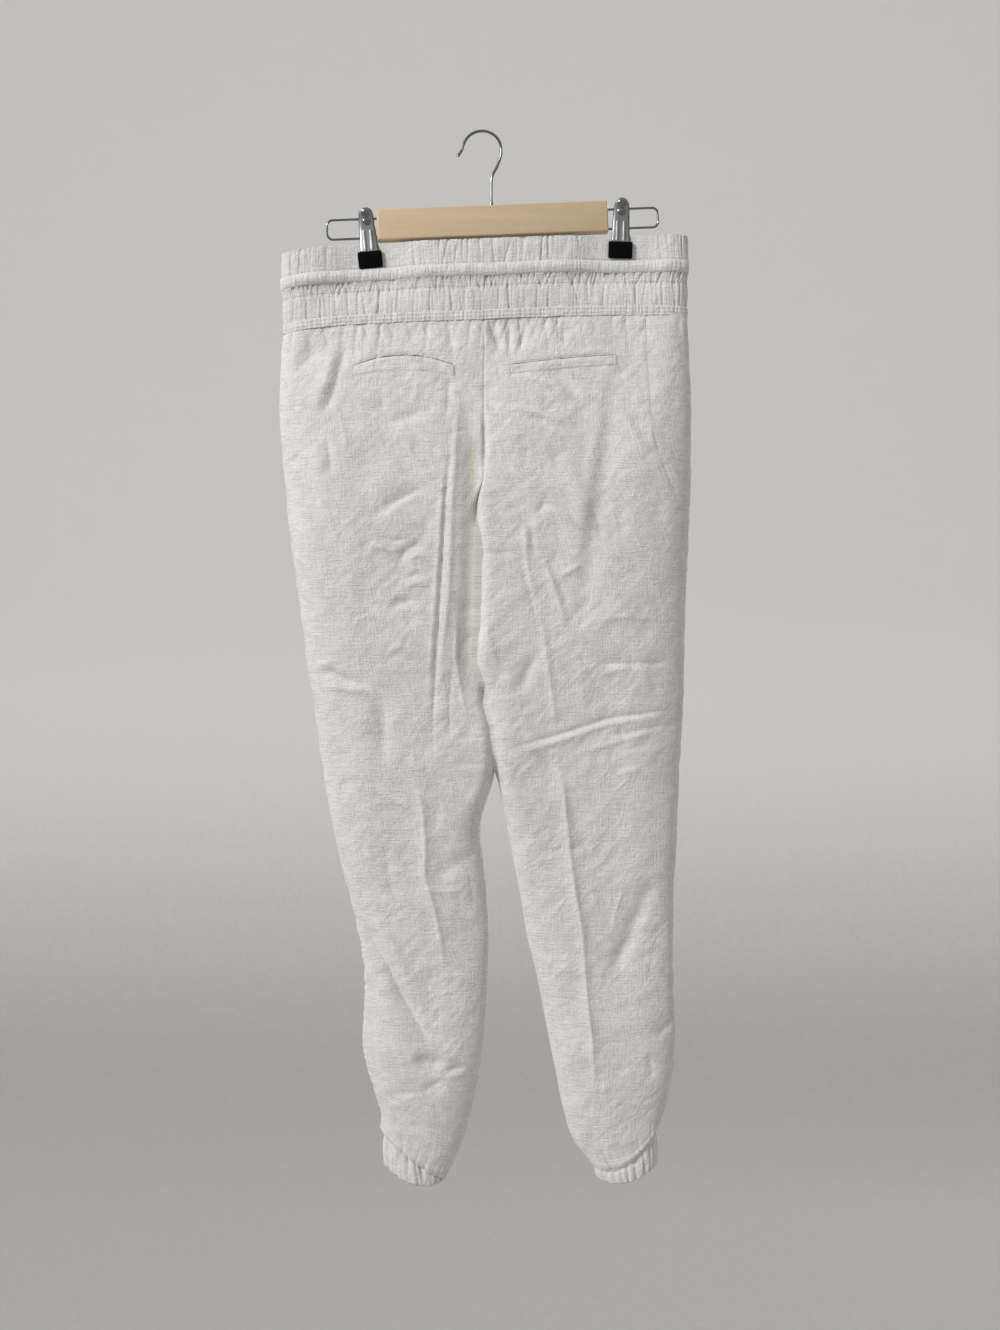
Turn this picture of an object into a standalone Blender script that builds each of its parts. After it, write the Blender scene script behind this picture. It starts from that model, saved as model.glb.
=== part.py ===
"""Pull-on linen trousers with a corded elastic waistband, held upside up by a wooden clip hanger.

All sizes below are millimetres; MM turns them into Blender's metres. +X runs along the hanger bar,
+Z is up, and the trousers' back faces -Y. The origin is the inner top of the hook's crook, where a
nail or rail carries the hanger. "Drop" is a distance below that point.
"""

import math

import bmesh
import bpy
import numpy as np
from mathutils import Matrix, Vector
from mathutils.bvhtree import BVHTree

MM = 0.001

# Cloth
SEAM_GAP = 0.3
PANEL_WALL = 1.6
CASING_WALL = 2.2
CUFF_WALL = 1.8

# Waistband, from its top edge down
UPPER_CASING = 26.5
ROLL = 13.0
SHIRRED_STRIP = 10.5
LOWER_CASING = 27.0
SEAM_BAND = 9.0
CASING_HEIGHT = UPPER_CASING + ROLL + SHIRRED_STRIP + LOWER_CASING
BAND_HEIGHT = CASING_HEIGHT + SEAM_BAND
ROLL_DEPTH = 5.6
WAIST_HALF_DEPTH = 10.0
WAIST_TOP_HALF_DEPTH = 9.0
CLAMPED_HALF_DEPTH = 3.0
WAIST_LEFT, WAIST_RIGHT = -213.5, 218.5
PANEL_LEFT, PANEL_RIGHT = -211.0, 217.5
CENTRE_BACK = 2.3

# The waistband's top edge: how far it hangs below the hook along the width
TOP_EDGE_X = (-214, -171, -105, 0, 110, 219)
TOP_EDGE_DROP = (129.5, 123.5, 118.8, 114.8, 111.0, 110.4)

# Hanger
BAR_LENGTH, BAR_HEIGHT, BAR_THICKNESS = 245.0, 33.0, 13.0
BAR_CENTRE = (11.1, -95.0)
BAR_TILT = math.radians(2.23)
BAR_EDGE = 1.6
HOOK_WIRE = 3.0
HOOK_RADIUS = 20.5
LOOP_WIRE = 2.4
LOOP_REACH = 175.5
LOOP_TOP, LOOP_BOTTOM = 8.3, -12.3
LOOP_CORNER = 6.0
WIRE_CLEARANCE = 0.3
PIN_DEPTH = 12.0

# Clips: name, top of the plate (x, z), lean of the plate, bottom towards +X
CLIPS = (
    ("clip_left", (-123.7, -82.0), math.radians(5.8)),
    ("clip_right", (148.2, -71.6), math.radians(-2.0)),
)
PLATE_WALL = 1.0
PAD_WIDTH, PAD_HEIGHT, PAD_THICKNESS = 25.5, 17.8, 3.6
PAD_TOP = 45.8
PAD_SLOT_DEPTH = 13.0
SLEEVE_WIDTH, SLEEVE_WALL = 12.0, 0.8

# Plate outline: distance from the top, half width, centre of the sheet from the clip's middle
PLATE_ROWS = (
    (0.0, 3.0, 6.6),
    (1.6, 5.6, 6.2),
    (4.5, 7.2, 5.5),
    (9.0, 7.9, 4.4),
    (14.0, 8.4, 3.5),
    (34.0, 9.2, 3.5),
    (45.0, 9.8, 5.1),
    (57.5, 9.8, 5.1),
)

# A row for each cross-section of a leg: drop at its inner edge, how much higher its outer edge sits,
# outer x, inner x, depth of the back and of the front, how far the section is closed at the inner
# edge (0 on the hips, 1 round the leg), where the side seam lies on the back as a share of the
# width, and how much lower its middle hangs
LEG_COLUMNS = ("drop", "rise", "outer", "inner", "back", "front", "closed", "seam", "sag")
LEFT_LEG = (
    (201, 0, PANEL_LEFT, 2.3, 10, 10, 0, 0, 0),
    (274, 0, -215.0, 2.3, 20, 13, 0, 0, 0),
    (327, 0, -213.4, 2.3, 26, 15, 0, 0, 0),
    (369, 0, -209.0, 1.8, 29, 16, 0, 0, 0),
    (396, 0, -206.5, -5.5, 30, 16, 0.35, 0, 0),
    (433, 0, -203.5, -7.7, 30, 17, 0.85, 0, 0),
    (450, 0, -201.0, -7.7, 29, 17, 1, 0, 0),
    (521, 0, -190.5, -8.8, 27, 17, 1, 0, 0),
    (565, 0, -185.4, -10.5, 26, 17, 1, 0, 0),
    (600, 0, -179.6, 4.0, 25, 17, 1, 0, 0),
    (631, 0, -174.9, 12.0, 24, 17, 1, 0, 0),
    (681, 0, -167.8, 12.6, 23, 16, 1, 0, 0),
    (735, 0, -158.3, -1.4, 22, 15, 1, 0, 0),
    (774, 0, -149.8, 2.0, 21, 15, 1, 0, 0),
    (809, 0, -140.5, 5.4, 20, 15, 1, 0, 0),
    (851, 0, -130.8, 7.4, 19, 14, 1, 0, 0),
    (894, 0, -124.6, 6.3, 19, 14, 1, 0, 0),
    (931, 0, -125.2, 4.6, 20, 15, 1, 0, 0),
    (968, 0, -126.4, 1.7, 21, 15, 1, 0, 0),
    (1000, 4, -120.6, -3.5, 21, 16, 1, 0, 0),
    (1037, 13, -112.1, -11.3, 20, 17, 1, 0, 0),
    (1069, 29, -107.0, -20.7, 19, 18, 1, 0, 2),
    (1109, 53, -108.4, -38.9, 18, 18, 1, 0, 3),
)
RIGHT_LEG = (
    (201, 0, PANEL_RIGHT, 2.3, 10, 10, 0, 0.21, 0),
    (274, 0, 221.5, 2.3, 20, 13, 0, 0.21, 0),
    (327, 0, 222.0, 2.3, 26, 15, 0, 0.19, 0),
    (369, 0, 221.2, 1.8, 29, 16, 0, 0.12, 0),
    (396, 0, 220.5, -5.5, 30, 16, 0.35, 0.06, 0),
    (433, 0, 219.1, -7.7, 30, 17, 0.85, 0.01, 0),
    (450, 0, 218.0, -7.7, 30, 17, 1, 0, 0),
    (521, 0, 215.4, -8.8, 30, 17, 1, 0, 0),
    (565, 0, 214.4, -10.5, 29, 17, 1, 0, 0),
    (600, 0, 213.8, 4.0, 27, 17, 1, 0, 0),
    (631, 0, 212.0, 13.0, 26, 17, 1, 0, 0),
    (681, 0, 209.0, 16.4, 24, 16, 1, 0, 0),
    (735, 0, 207.1, 26.0, 22, 15, 1, 0, 0),
    (774, 0, 205.1, 33.6, 21, 15, 1, 0, 0),
    (809, 0, 203.4, 40.5, 20, 15, 1, 0, 0),
    (851, 0, 202.9, 47.4, 19, 14, 1, 0, 0),
    (894, 0, 202.9, 58.0, 19, 14, 1, 0, 0),
    (931, 0, 204.2, 65.2, 20, 15, 1, 0, 0),
    (968, 0, 204.6, 72.3, 21, 15, 1, 0, 0),
    (1000, 4, 202.0, 78.9, 21, 16, 1, 0, 0),
    (1037, 18, 197.9, 86.4, 20, 17, 1, 0, 4),
    (1069, 31, 192.5, 97.2, 19, 18, 1, 0, 10),
    (1095, 45, 188.4, 117.9, 18, 18, 1, 0, 18),
)
APEX_DROP = 690
WAIST_SLANT_ENDS = 345
HIP_GAP, LEG_GAP = 0.3, 1.0
EDGE_ROUNDING = 3.0
WIDEST_ROUNDING = 0.48

# The largest folds: side, path as (x, drop) points, half width, height (a valley is negative)
FOLDS = (
    ("back", ((-21, 300), (-17, 420), (-20, 560), (-4, 602)), 12, -8),
    ("back", ((-24, 300), (-33, 440), (-43, 560)), 9, 4),
    ("back", ((-31, 320), (-43, 440), (-52, 580), (-51, 670)), 8, -5),
    ("back", ((-143, 222), (-155, 275), (-170, 312)), 11, -5),
    ("back", ((-172, 225), (-188, 262)), 12, -4),
    ("back", ((142, 250), (124, 330), (113, 430), (104, 515), (102, 560)), 17, -5),
    ("back", ((62, 448), (92, 531)), 12, 4),
    ("back", ((18, 662), (75, 640), (142, 622), (208, 609)), 12, -5),
    ("back", ((76, 642), (92, 760), (112, 900), (118, 1046)), 10, 3),
    ("back", ((-72, 676), (-60, 750), (-40, 900)), 10, 3),
    ("back", ((-138, 818), (-82, 915), (-50, 970)), 12, -4),
    ("back", ((182, 780), (150, 860), (133, 897)), 13, -4),
    ("back", ((-178, 573), (-135, 584), (-108, 592)), 11, -4),
    ("front", ((-150, 225), (-120, 330), (-112, 470)), 16, -4),
    ("front", ((150, 225), (128, 330), (118, 480)), 16, -4),
    ("front", ((-12, 400), (-30, 520), (-36, 640)), 14, -5),
    ("front", ((26, 420), (48, 560), (60, 700)), 14, -4),
    ("front", ((-104, 560), (-80, 760), (-62, 940)), 12, 3),
    ("front", ((104, 560), (118, 760), (138, 940)), 12, 3),
)

BACK_COLUMNS, FRONT_COLUMNS = 14, 10
LONG_ROWS, HEM_ROWS = 23, 4
FREE_LENGTH_DROP = 1000

# Pocket welts: left and right end as (x, upper drop, lower drop), and how much the middle of the
# upper and of the lower edge rises above the line between its ends
WELTS = (
    ("pocket_welt_left", "back_left", (-137.0, 253.0, 264.5), (-28.5, 251.5, 264.0), 11.5, 5.5),
    ("pocket_welt_right", "back_right", (27.5, 250.5, 261.5), (142.0, 239.5, 251.5), 0.8, 0.3),
)
WELT_WALL, WELT_LIFT = 1.3, 0.7
WELT_COLUMNS = 14
FAR_BEHIND = 200

# Cuffs: outer and inner end of the lower edge as (x, drop), how much lower its middle hangs
CUFFS = (
    ("cuff_left", "left", (-103.5, 1095.0), (-42.5, 1112.0), 7.0),
    ("cuff_right", "right", (185.5, 1094.0), (122.5, 1108.0), 8.0),
)
CUFF_HALF_DEPTH = 19.0
CUFF_TUCK, CUFF_CLEARANCE = 3.0, 0.6
CUFF_SIDES = 24

EYELET_OUTER, EYELET_INNER, EYELET_WALL = 4.2, 2.2, 0.8
EYELET_SPACING = 46.0


def clear_scene():
    for obj in list(bpy.data.objects):
        bpy.data.objects.remove(obj, do_unlink=True)


def material(name, colour, roughness, metallic=0.0):
    made = bpy.data.materials.new(name)
    made.use_nodes = True
    shader = made.node_tree.nodes["Principled BSDF"]
    shader.inputs["Base Color"].default_value = (*colour, 1.0)
    shader.inputs["Roughness"].default_value = roughness
    shader.inputs["Metallic"].default_value = metallic
    return made


def add_mesh(name, points, faces, finish, smooth=True):
    """An object from points in millimetres."""
    mesh = bpy.data.meshes.new(name)
    mesh.from_pydata((np.asarray(points) * MM).tolist(), [], faces)
    mesh.update()
    if smooth:
        mesh.shade_smooth()
        mesh.set_sharp_from_angle(angle=math.radians(50))
    obj = bpy.data.objects.new(name, mesh)
    bpy.context.collection.objects.link(obj)
    mesh.materials.append(finish)
    return obj


def smooth_through(xs, ys, x):
    """A smooth curve through the points (xs, ys), read at x."""
    xs, ys = np.asarray(xs, float), np.asarray(ys, float)
    slopes = np.gradient(ys, xs)
    x = np.clip(x, xs[0], xs[-1])
    i = np.clip(np.searchsorted(xs, x, side="right") - 1, 0, len(xs) - 2)
    span = xs[i + 1] - xs[i]
    t = (x - xs[i]) / span
    return (
        (2 * t**3 - 3 * t**2 + 1) * ys[i]
        + (t**3 - 2 * t**2 + t) * span * slopes[i]
        + (3 * t**2 - 2 * t**3) * ys[i + 1]
        + (t**3 - t**2) * span * slopes[i + 1]
    )


def fade(x, start, end):
    """0 at start, 1 at end, smooth between."""
    t = np.clip((x - start) / (end - start), 0, 1)
    return t * t * (3 - 2 * t)


def quarter_round(q):
    """A quarter circle's height, 0 at q = 0 and 1 from q = 1 on."""
    return np.sqrt(np.clip(1 - (1 - np.minimum(q, 1)) ** 2, 0, 1))


def band_line(x, down):
    """Height of the line that lies so far down the waistband."""
    return -smooth_through(TOP_EDGE_X, TOP_EDGE_DROP, x) - down


# ---------------------------------------------------------------- walls


def wall(name, outer, inner, finish, ring=False):
    """A wall between two grids of points, rows down and columns across. A ring's columns close up."""
    rows, columns = outer.shape[:2]
    spans = columns if ring else columns - 1
    inside = rows * columns

    def at(row, column):
        return row * columns + column % columns

    faces = []

    def quad(a, b, c, d):
        faces.extend(((a, b, c), (a, c, d)))

    for row in range(rows - 1):
        for column in range(spans):
            a, b = at(row, column), at(row, column + 1)
            c, d = at(row + 1, column + 1), at(row + 1, column)
            quad(a, b, c, d)
            faces.extend(
                ((inside + a, inside + c, inside + b), (inside + a, inside + d, inside + c))
            )
    for column in range(spans):
        for row, flip in ((0, True), (rows - 1, False)):
            a, b = at(row, column), at(row, column + 1)
            if flip:
                a, b = b, a
            quad(a, b, inside + b, inside + a)
    if not ring:
        for row in range(rows - 1):
            for column, flip in ((0, False), (columns - 1, True)):
                a, b = at(row, column), at(row + 1, column)
                if flip:
                    a, b = b, a
                quad(a, b, inside + b, inside + a)
    points = np.concatenate([outer.reshape(-1, 3), inner.reshape(-1, 3)])
    return outward(add_mesh(name, points, faces, finish))


def outward(obj):
    """Turns a closed mesh so that its faces point out."""
    shape = bmesh.new()
    shape.from_mesh(obj.data)
    if shape.calc_volume(signed=True) < 0:
        bmesh.ops.reverse_faces(shape, faces=shape.faces)
    shape.to_mesh(obj.data)
    shape.free()
    return obj


# ---------------------------------------------------------------- waistband rings


def ring_stations():
    """The x stations along one face of the waistband: close together at its ends, one at each edge
    of a clip's pad, and even between."""
    ends = WAIST_LEFT + np.array([0, 0.9, 3.4, 8, 16, 30])
    other = WAIST_RIGHT - np.array([0, 0.9, 3.4, 8, 16, 30])
    pads = [pad_centre(clip)[0] + side * 16 for clip in CLIPS for side in (-1, 0, 1)]
    between = np.linspace(-80, 108, 8)
    return np.sort(np.concatenate([ends, other, pads, between, [-167, -151]]))


def pad_centre(clip):
    _, (x, z), lean = clip
    middle = PAD_TOP + PAD_HEIGHT / 2
    return x + math.sin(lean) * middle, z - math.cos(lean) * middle


def clamped(x):
    """1 under a clip's pad and 0 away from the clips."""
    away = [np.abs(x - pad_centre(clip)[0]) for clip in CLIPS]
    return 1 - fade(np.minimum(*away), 17, 62)


def waist_ring(down, offset, ease=1.0):
    """A closed ring of points round the waist, so far down the band, moved out by offset."""
    x = ring_stations()
    share = (x - WAIST_LEFT) / (WAIST_RIGHT - WAIST_LEFT)
    low = fade(down, 0, BAND_HEIGHT)
    left = WAIST_LEFT + (PANEL_LEFT - WAIST_LEFT) * low
    right = WAIST_RIGHT + (PANEL_RIGHT - WAIST_RIGHT) * low
    placed = left + (right - left) * share
    free = WAIST_TOP_HALF_DEPTH + (WAIST_HALF_DEPTH - WAIST_TOP_HALF_DEPTH) * low
    grip = clamped(x) * (1 - fade(down, 30, 80))
    depth = free + (CLAMPED_HALF_DEPTH - free) * grip
    reach = EDGE_ROUNDING * free
    round_ends = quarter_round((placed - left) / reach) * quarter_round((right - placed) / reach)
    y = depth * round_ends
    xs = np.concatenate([placed, placed[-2:0:-1]])
    ys = np.concatenate([-y, y[-2:0:-1]])
    along = np.stack([np.roll(xs, -1) - np.roll(xs, 1), np.roll(ys, -1) - np.roll(ys, 1)], 1)
    along /= np.linalg.norm(along, axis=1)[:, None]
    shift = offset * (1 - ease * clamped(xs) * (1 - fade(down, 30, 80)))
    z = band_line(xs, down)
    return np.stack([xs + along[:, 1] * shift, ys - along[:, 0] * shift, z], 1)


def waist_wall(name, rows, thickness, finish):
    """A ring wall of the waistband from (down, bulge) rows."""
    outer = np.stack([waist_ring(down, bulge) for down, bulge in rows])
    inner = np.stack([waist_ring(down, -thickness, ease=0) for down, _ in rows])
    return wall(name, outer, inner, finish, ring=True)


def roll_offset(down):
    """How far the padded roll stands out, so far down the band."""
    middle = UPPER_CASING + ROLL / 2
    return ROLL_DEPTH * np.sqrt(np.clip(1 - ((down - middle) / (ROLL / 2)) ** 2, 0, 1)) + SEAM_GAP


def waistband(linen):
    strip = UPPER_CASING + ROLL
    lower = strip + SHIRRED_STRIP
    rows = (
        (0, -0.6), (2.2, 0.3), (UPPER_CASING * 0.5, 1.0), (UPPER_CASING, 0),
        (strip, 0), (lower, -0.2), (lower + LOWER_CASING * 0.5, 1.0), (CASING_HEIGHT, 0),
    )
    waist_wall("waistband", rows, CASING_WALL, linen)
    rows = ((CASING_HEIGHT + SEAM_GAP, 0.5), (BAND_HEIGHT, 0.5))
    waist_wall("waist_seam_band", rows, PANEL_WALL, linen)


def drawcord_tunnel(linen):
    """The padded roll, a D-shaped section swept round the waistband."""
    middle, half = UPPER_CASING + ROLL / 2, ROLL / 2 - 0.3
    section = [(middle + half, SEAM_GAP), (middle - half, SEAM_GAP)]
    for step in range(1, 7):
        turn = math.pi * step / 7
        section.append((middle - half * math.cos(turn), SEAM_GAP + ROLL_DEPTH * math.sin(turn)))
    rings = [waist_ring(down, offset, ease=0) for down, offset in section]
    count = len(rings[0])
    points = np.concatenate(rings)
    faces = []
    for i in range(len(rings)):
        for j in range(count):
            a, b = i * count + j, i * count + (j + 1) % count
            after = (i + 1) % len(rings) * count
            c, d = after + (j + 1) % count, after + j
            faces.extend(((a, b, c), (a, c, d)))
    outward(add_mesh("drawcord_tunnel", points, faces, linen))


def eyelets(thread):
    """Two stitched eyelets that lie on the roll at centre front."""
    turns = np.linspace(0, 2 * math.pi, 12, endpoint=False)
    for name, side in (("eyelet_left", -1), ("eyelet_right", 1)):
        middle = CENTRE_BACK + side * EYELET_SPACING / 2
        layers = []
        for lift in (EYELET_WALL, 0):
            rings = []
            for radius in (EYELET_INNER, EYELET_OUTER):
                x = middle + radius * np.cos(turns)
                down = UPPER_CASING + ROLL / 2 + radius * np.sin(turns)
                stand = WAIST_HALF_DEPTH + roll_offset(down) + SEAM_GAP + lift
                rings.append(np.stack([x, stand, band_line(x, down)], 1))
            layers.append(np.stack(rings))
        wall(name, layers[0], layers[1], thread, ring=True)


# ---------------------------------------------------------------- legs


class Leg:
    """One leg with its half of the seat, as a ring of cloth. Turn 0 is the outer edge, positive
    turns run over the back to the inner edge at pi, and negative turns over the front."""

    def __init__(self, rows, side):
        self.table = dict(zip(LEG_COLUMNS, np.array(rows, float).T))
        self.side = side

    def read(self, column, drop):
        return smooth_through(self.table["drop"], self.table[column], drop)

    def inner_edge(self, drop):
        """The inner edge's x, kept clear of the other leg."""
        gap = np.where(drop < APEX_DROP, HIP_GAP + (LEG_GAP - HIP_GAP) * fade(drop, 380, 440), 0)
        return self.read("inner", drop) + self.side * gap / 2

    def point(self, turn, drop):
        turn, drop = np.broadcast_arrays(np.asarray(turn, float), np.asarray(drop, float))
        outer, inner = self.read("outer", drop), self.inner_edge(drop)
        share = (1 - np.cos(np.abs(turn))) / 2
        width = np.abs(inner - outer)
        x = outer + (inner - outer) * share
        level = -drop + self.read("rise", drop) * (1 - share)
        level = level - self.read("sag", drop) * 4 * share * (1 - share)
        slant = 1 - fade(drop, self.table["drop"][0], WAIST_SLANT_ENDS)
        waist = band_line(x, BAND_HEIGHT + 1.5 * SEAM_GAP) + self.table["drop"][0]
        z = level + slant * waist
        back = turn > 0
        depth = np.where(back, self.read("back", drop), self.read("front", drop))
        closed = np.clip(self.read("closed", drop), 0, 1)
        round_outer = np.minimum(WIDEST_ROUNDING * width, EDGE_ROUNDING * depth)
        round_inner = np.minimum(
            WIDEST_ROUNDING * width, np.maximum(EDGE_ROUNDING * depth * closed, 0.1)
        )
        swell = quarter_round(share * width / round_outer)
        swell = swell * (1 - closed * (1 - quarter_round((1 - share) * width / round_inner)))
        y = depth * swell + swell * fold_height(x, z, back)
        return np.stack([x, np.where(back, -y, y), z], -1)

    def moved(self, turn, drop, distance):
        """The cloth's points moved out by a distance, or in by a negative one."""
        points = self.point(turn, drop) + distance * self.normal(turn, drop)
        beyond = self.side * (points[..., 0] - self.inner_edge(drop)) < 0
        points[..., 0] = np.where(beyond, self.inner_edge(drop), points[..., 0])
        return points

    def normal(self, turn, drop):
        """Points out of the cloth."""
        turn = np.clip(turn, -math.pi + 0.03, math.pi - 0.03)
        across = self.point(turn + 0.02, drop) - self.point(turn - 0.02, drop)
        down = self.point(turn, drop + 2) - self.point(turn, drop - 2)
        facing = np.cross(across, down) * self.side
        return facing / np.linalg.norm(facing, axis=-1)[..., None]

    def seam_turn(self, drop):
        share = np.clip(self.read("seam", drop), 0, 1)
        return np.arccos(1 - 2 * share)

    def trim(self, turn, drop):
        """The turn that lies half a seam gap away along the section."""
        speed = np.linalg.norm(self.point(turn + 0.01, drop) - self.point(turn - 0.01, drop), axis=-1)
        return np.minimum(0.5 * SEAM_GAP / (speed / 0.02), 0.06)

    def panel_turns(self, back, columns, drops):
        start, end = self.seam_turn(drops), np.full(len(drops), math.pi)
        if back:
            start = start + self.trim(start, drops)
        else:
            start, end = start - self.trim(start, drops), -end
        inset = self.trim(np.sign(end) * (math.pi - 0.03), drops)
        end = end - np.sign(end) * inset
        steps = np.linspace(0, 1, columns + 1)
        return start[:, None] + (end - start)[:, None] * steps


def fold_height(x, z, back):
    """How far the folds lift the cloth at a place, negative in a valley."""
    height = np.zeros(np.broadcast(x, z).shape)
    for side, path, half_width, lift in FOLDS:
        nearest = np.full(height.shape, 1e9)
        for (x0, d0), (x1, d1) in zip(path, path[1:]):
            run, fall = x1 - x0, d1 - d0
            t = np.clip(((x - x0) * run + (-z - d0) * fall) / (run**2 + fall**2), 0, 1)
            nearest = np.minimum(nearest, np.hypot(x - x0 - t * run, -z - d0 - t * fall))
        applies = back if side == "back" else ~back
        height = height + np.where(applies, lift * np.exp(-((nearest / half_width) ** 2)), 0)
    return height


def panels(legs, linen):
    for side, leg in legs.items():
        top, hem = leg.table["drop"][0], leg.table["drop"][-1]
        drops = np.concatenate([
            np.linspace(top, FREE_LENGTH_DROP, LONG_ROWS),
            np.linspace(FREE_LENGTH_DROP, hem, HEM_ROWS + 1)[1:],
        ])
        for face, columns in (("back", BACK_COLUMNS), ("front", FRONT_COLUMNS)):
            turns = leg.panel_turns(face == "back", columns, drops)
            rows = np.repeat(drops[:, None], columns + 1, axis=1)
            outer, inner = leg.point(turns, rows), leg.moved(turns, rows, -PANEL_WALL)
            for layer in (outer, inner):
                y = layer[..., 1]
                if face == "back":
                    layer[..., 1] = np.minimum(y, -SEAM_GAP / 2)
                else:
                    layer[..., 1] = np.where(turns < 0, np.maximum(y, SEAM_GAP / 2), y)
            wall(f"{face}_{side}", outer, inner, linen)


def laid_on(panel, x, drop, lift):
    """Points of a grid laid on a panel's outer face, seen from behind, and lifted off it."""
    tree = BVHTree.FromObject(panel, bpy.context.evaluated_depsgraph_get())
    points = np.empty((*x.shape, 3))
    for place in np.ndindex(*x.shape):
        start = Vector((x[place], -FAR_BEHIND, -drop[place])) * MM
        hit, facing, _, _ = tree.ray_cast(start, Vector((0, 1, 0)))
        points[place] = (hit + facing * lift * MM) / MM
    return points


def welts(linen):
    for name, panel, left, right, rise_upper, rise_lower in WELTS:
        share = np.linspace(0, 1, WELT_COLUMNS + 1)
        x = left[0] + (right[0] - left[0]) * share
        arch = 4 * share * (1 - share)
        upper = left[1] + (right[1] - left[1]) * share - rise_upper * arch
        lower = left[2] + (right[2] - left[2]) * share - rise_lower * arch
        xs, drops = np.stack([x, x, x]), np.stack([upper, (upper + lower) / 2, lower])
        layers = [laid_on(bpy.data.objects[panel], xs, drops, lift)
                  for lift in (WELT_LIFT + WELT_WALL, WELT_LIFT)]
        wall(name, *layers, linen)


def plan_ring(outer_end, inner_end, sag, turns, half_depth, inset):
    """A slanted oval ring between two ends, for the lower edge of a cuff."""
    (x0, d0), (x1, d1) = outer_end, inner_end
    share = (1 - np.cos(turns)) / 2
    half = abs(x1 - x0) / 2
    middle = (x0 + x1) / 2
    x = middle + math.copysign(1, x0 - x1) * (half - inset) * np.cos(turns)
    y = -(half_depth - inset) * np.sin(turns)
    z = -(d0 + (d1 - d0) * share) - sag * 4 * share * (1 - share)
    return np.stack([x, y, z], 1)


def cuffs(legs, linen):
    turns = np.linspace(-math.pi, math.pi, CUFF_SIDES, endpoint=False)
    for name, side, outer_end, inner_end, sag in CUFFS:
        leg = legs[side]
        hem = leg.table["drop"][-1]
        layers = []
        for layer in (0, CUFF_WALL):
            rows = []
            for tuck in (CUFF_TUCK, 0):
                drop = hem - tuck
                inset = PANEL_WALL + CUFF_CLEARANCE + tuck / 5 + layer
                rows.append(leg.moved(turns, drop, -inset))
            low = plan_ring(outer_end, inner_end, sag, turns, CUFF_HALF_DEPTH - 2, layer)
            middle = (rows[-1] + low) / 2
            centre = middle.mean(axis=0)
            middle[:, :2] += (middle - centre)[:, :2] * 0.03
            layers.append(np.stack([*rows, middle, low]))
        wall(name, layers[0], layers[1], linen, ring=True)


# ---------------------------------------------------------------- hanger


def along_bar(along, up, y=0.0):
    """A point given along and across the tilted bar, from the bar's centre."""
    x = BAR_CENTRE[0] + along * math.cos(BAR_TILT) - up * math.sin(BAR_TILT)
    z = BAR_CENTRE[1] + along * math.sin(BAR_TILT) + up * math.cos(BAR_TILT)
    return (x, y, z)


def wire(name, path, diameter, finish, sides=2):
    """A round wire along points in millimetres."""
    curve = bpy.data.curves.new(name, "CURVE")
    curve.dimensions = "3D"
    curve.bevel_depth = diameter / 2 * MM
    curve.bevel_resolution = sides
    curve.use_fill_caps = True
    spline = curve.splines.new("POLY")
    spline.points.add(len(path) - 1)
    for place, point in zip(spline.points, path):
        place.co = (*(Vector(point) * MM), 1.0)
    obj = bpy.data.objects.new(name, curve)
    bpy.context.collection.objects.link(obj)
    curve.materials.append(finish)
    return obj


def smooth_path(points, spacing):
    """Points at this spacing on a smooth curve through the route's own points."""
    points = np.array(points, float)
    way = np.concatenate([[0], np.cumsum(np.linalg.norm(np.diff(points, axis=0), axis=1))])
    steps = np.linspace(0, way[-1], max(2, round(way[-1] / spacing)))
    return np.stack([smooth_through(way, points[:, axis], steps) for axis in range(3)], 1)


def box(name, centre, size, finish, turn=0.0, bevel=0.0):
    """A box turned about Y, with its edges rounded."""
    shape = bmesh.new()
    bmesh.ops.create_cube(shape, size=1.0)
    bmesh.ops.scale(shape, vec=Vector(size) * MM, verts=shape.verts)
    if bevel:
        bmesh.ops.bevel(shape, geom=shape.edges[:], offset=bevel * MM, segments=2, profile=0.5,
                        affect="EDGES")
    bmesh.ops.triangulate(shape, faces=shape.faces)
    mesh = bpy.data.meshes.new(name)
    shape.to_mesh(mesh)
    shape.free()
    obj = bpy.data.objects.new(name, mesh)
    bpy.context.collection.objects.link(obj)
    obj.location = Vector(centre) * MM
    obj.rotation_euler = (0, -turn, 0)
    mesh.materials.append(finish)
    return obj


def cut(obj, cutter):
    """Cuts a hidden cutter out of an object."""
    cutter.hide_render = True
    cutter.display_type = "WIRE"
    boolean = obj.modifiers.new(f"cut {cutter.name}", "BOOLEAN")
    boolean.operation = "DIFFERENCE"
    boolean.object = cutter


def drill(name, centre, diameter, length, direction):
    """A cutter for a round hole."""
    shape = bmesh.new()
    bmesh.ops.create_cone(shape, cap_ends=True, segments=10, radius1=diameter / 2 * MM,
                          radius2=diameter / 2 * MM, depth=length * MM)
    mesh = bpy.data.meshes.new(name)
    shape.to_mesh(mesh)
    shape.free()
    obj = bpy.data.objects.new(name, mesh)
    bpy.context.collection.objects.link(obj)
    turn = Vector((0, 0, 1)).rotation_difference(Vector(direction))
    obj.matrix_world = Matrix.Translation(Vector(centre) * MM) @ turn.to_matrix().to_4x4()
    return obj


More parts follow.
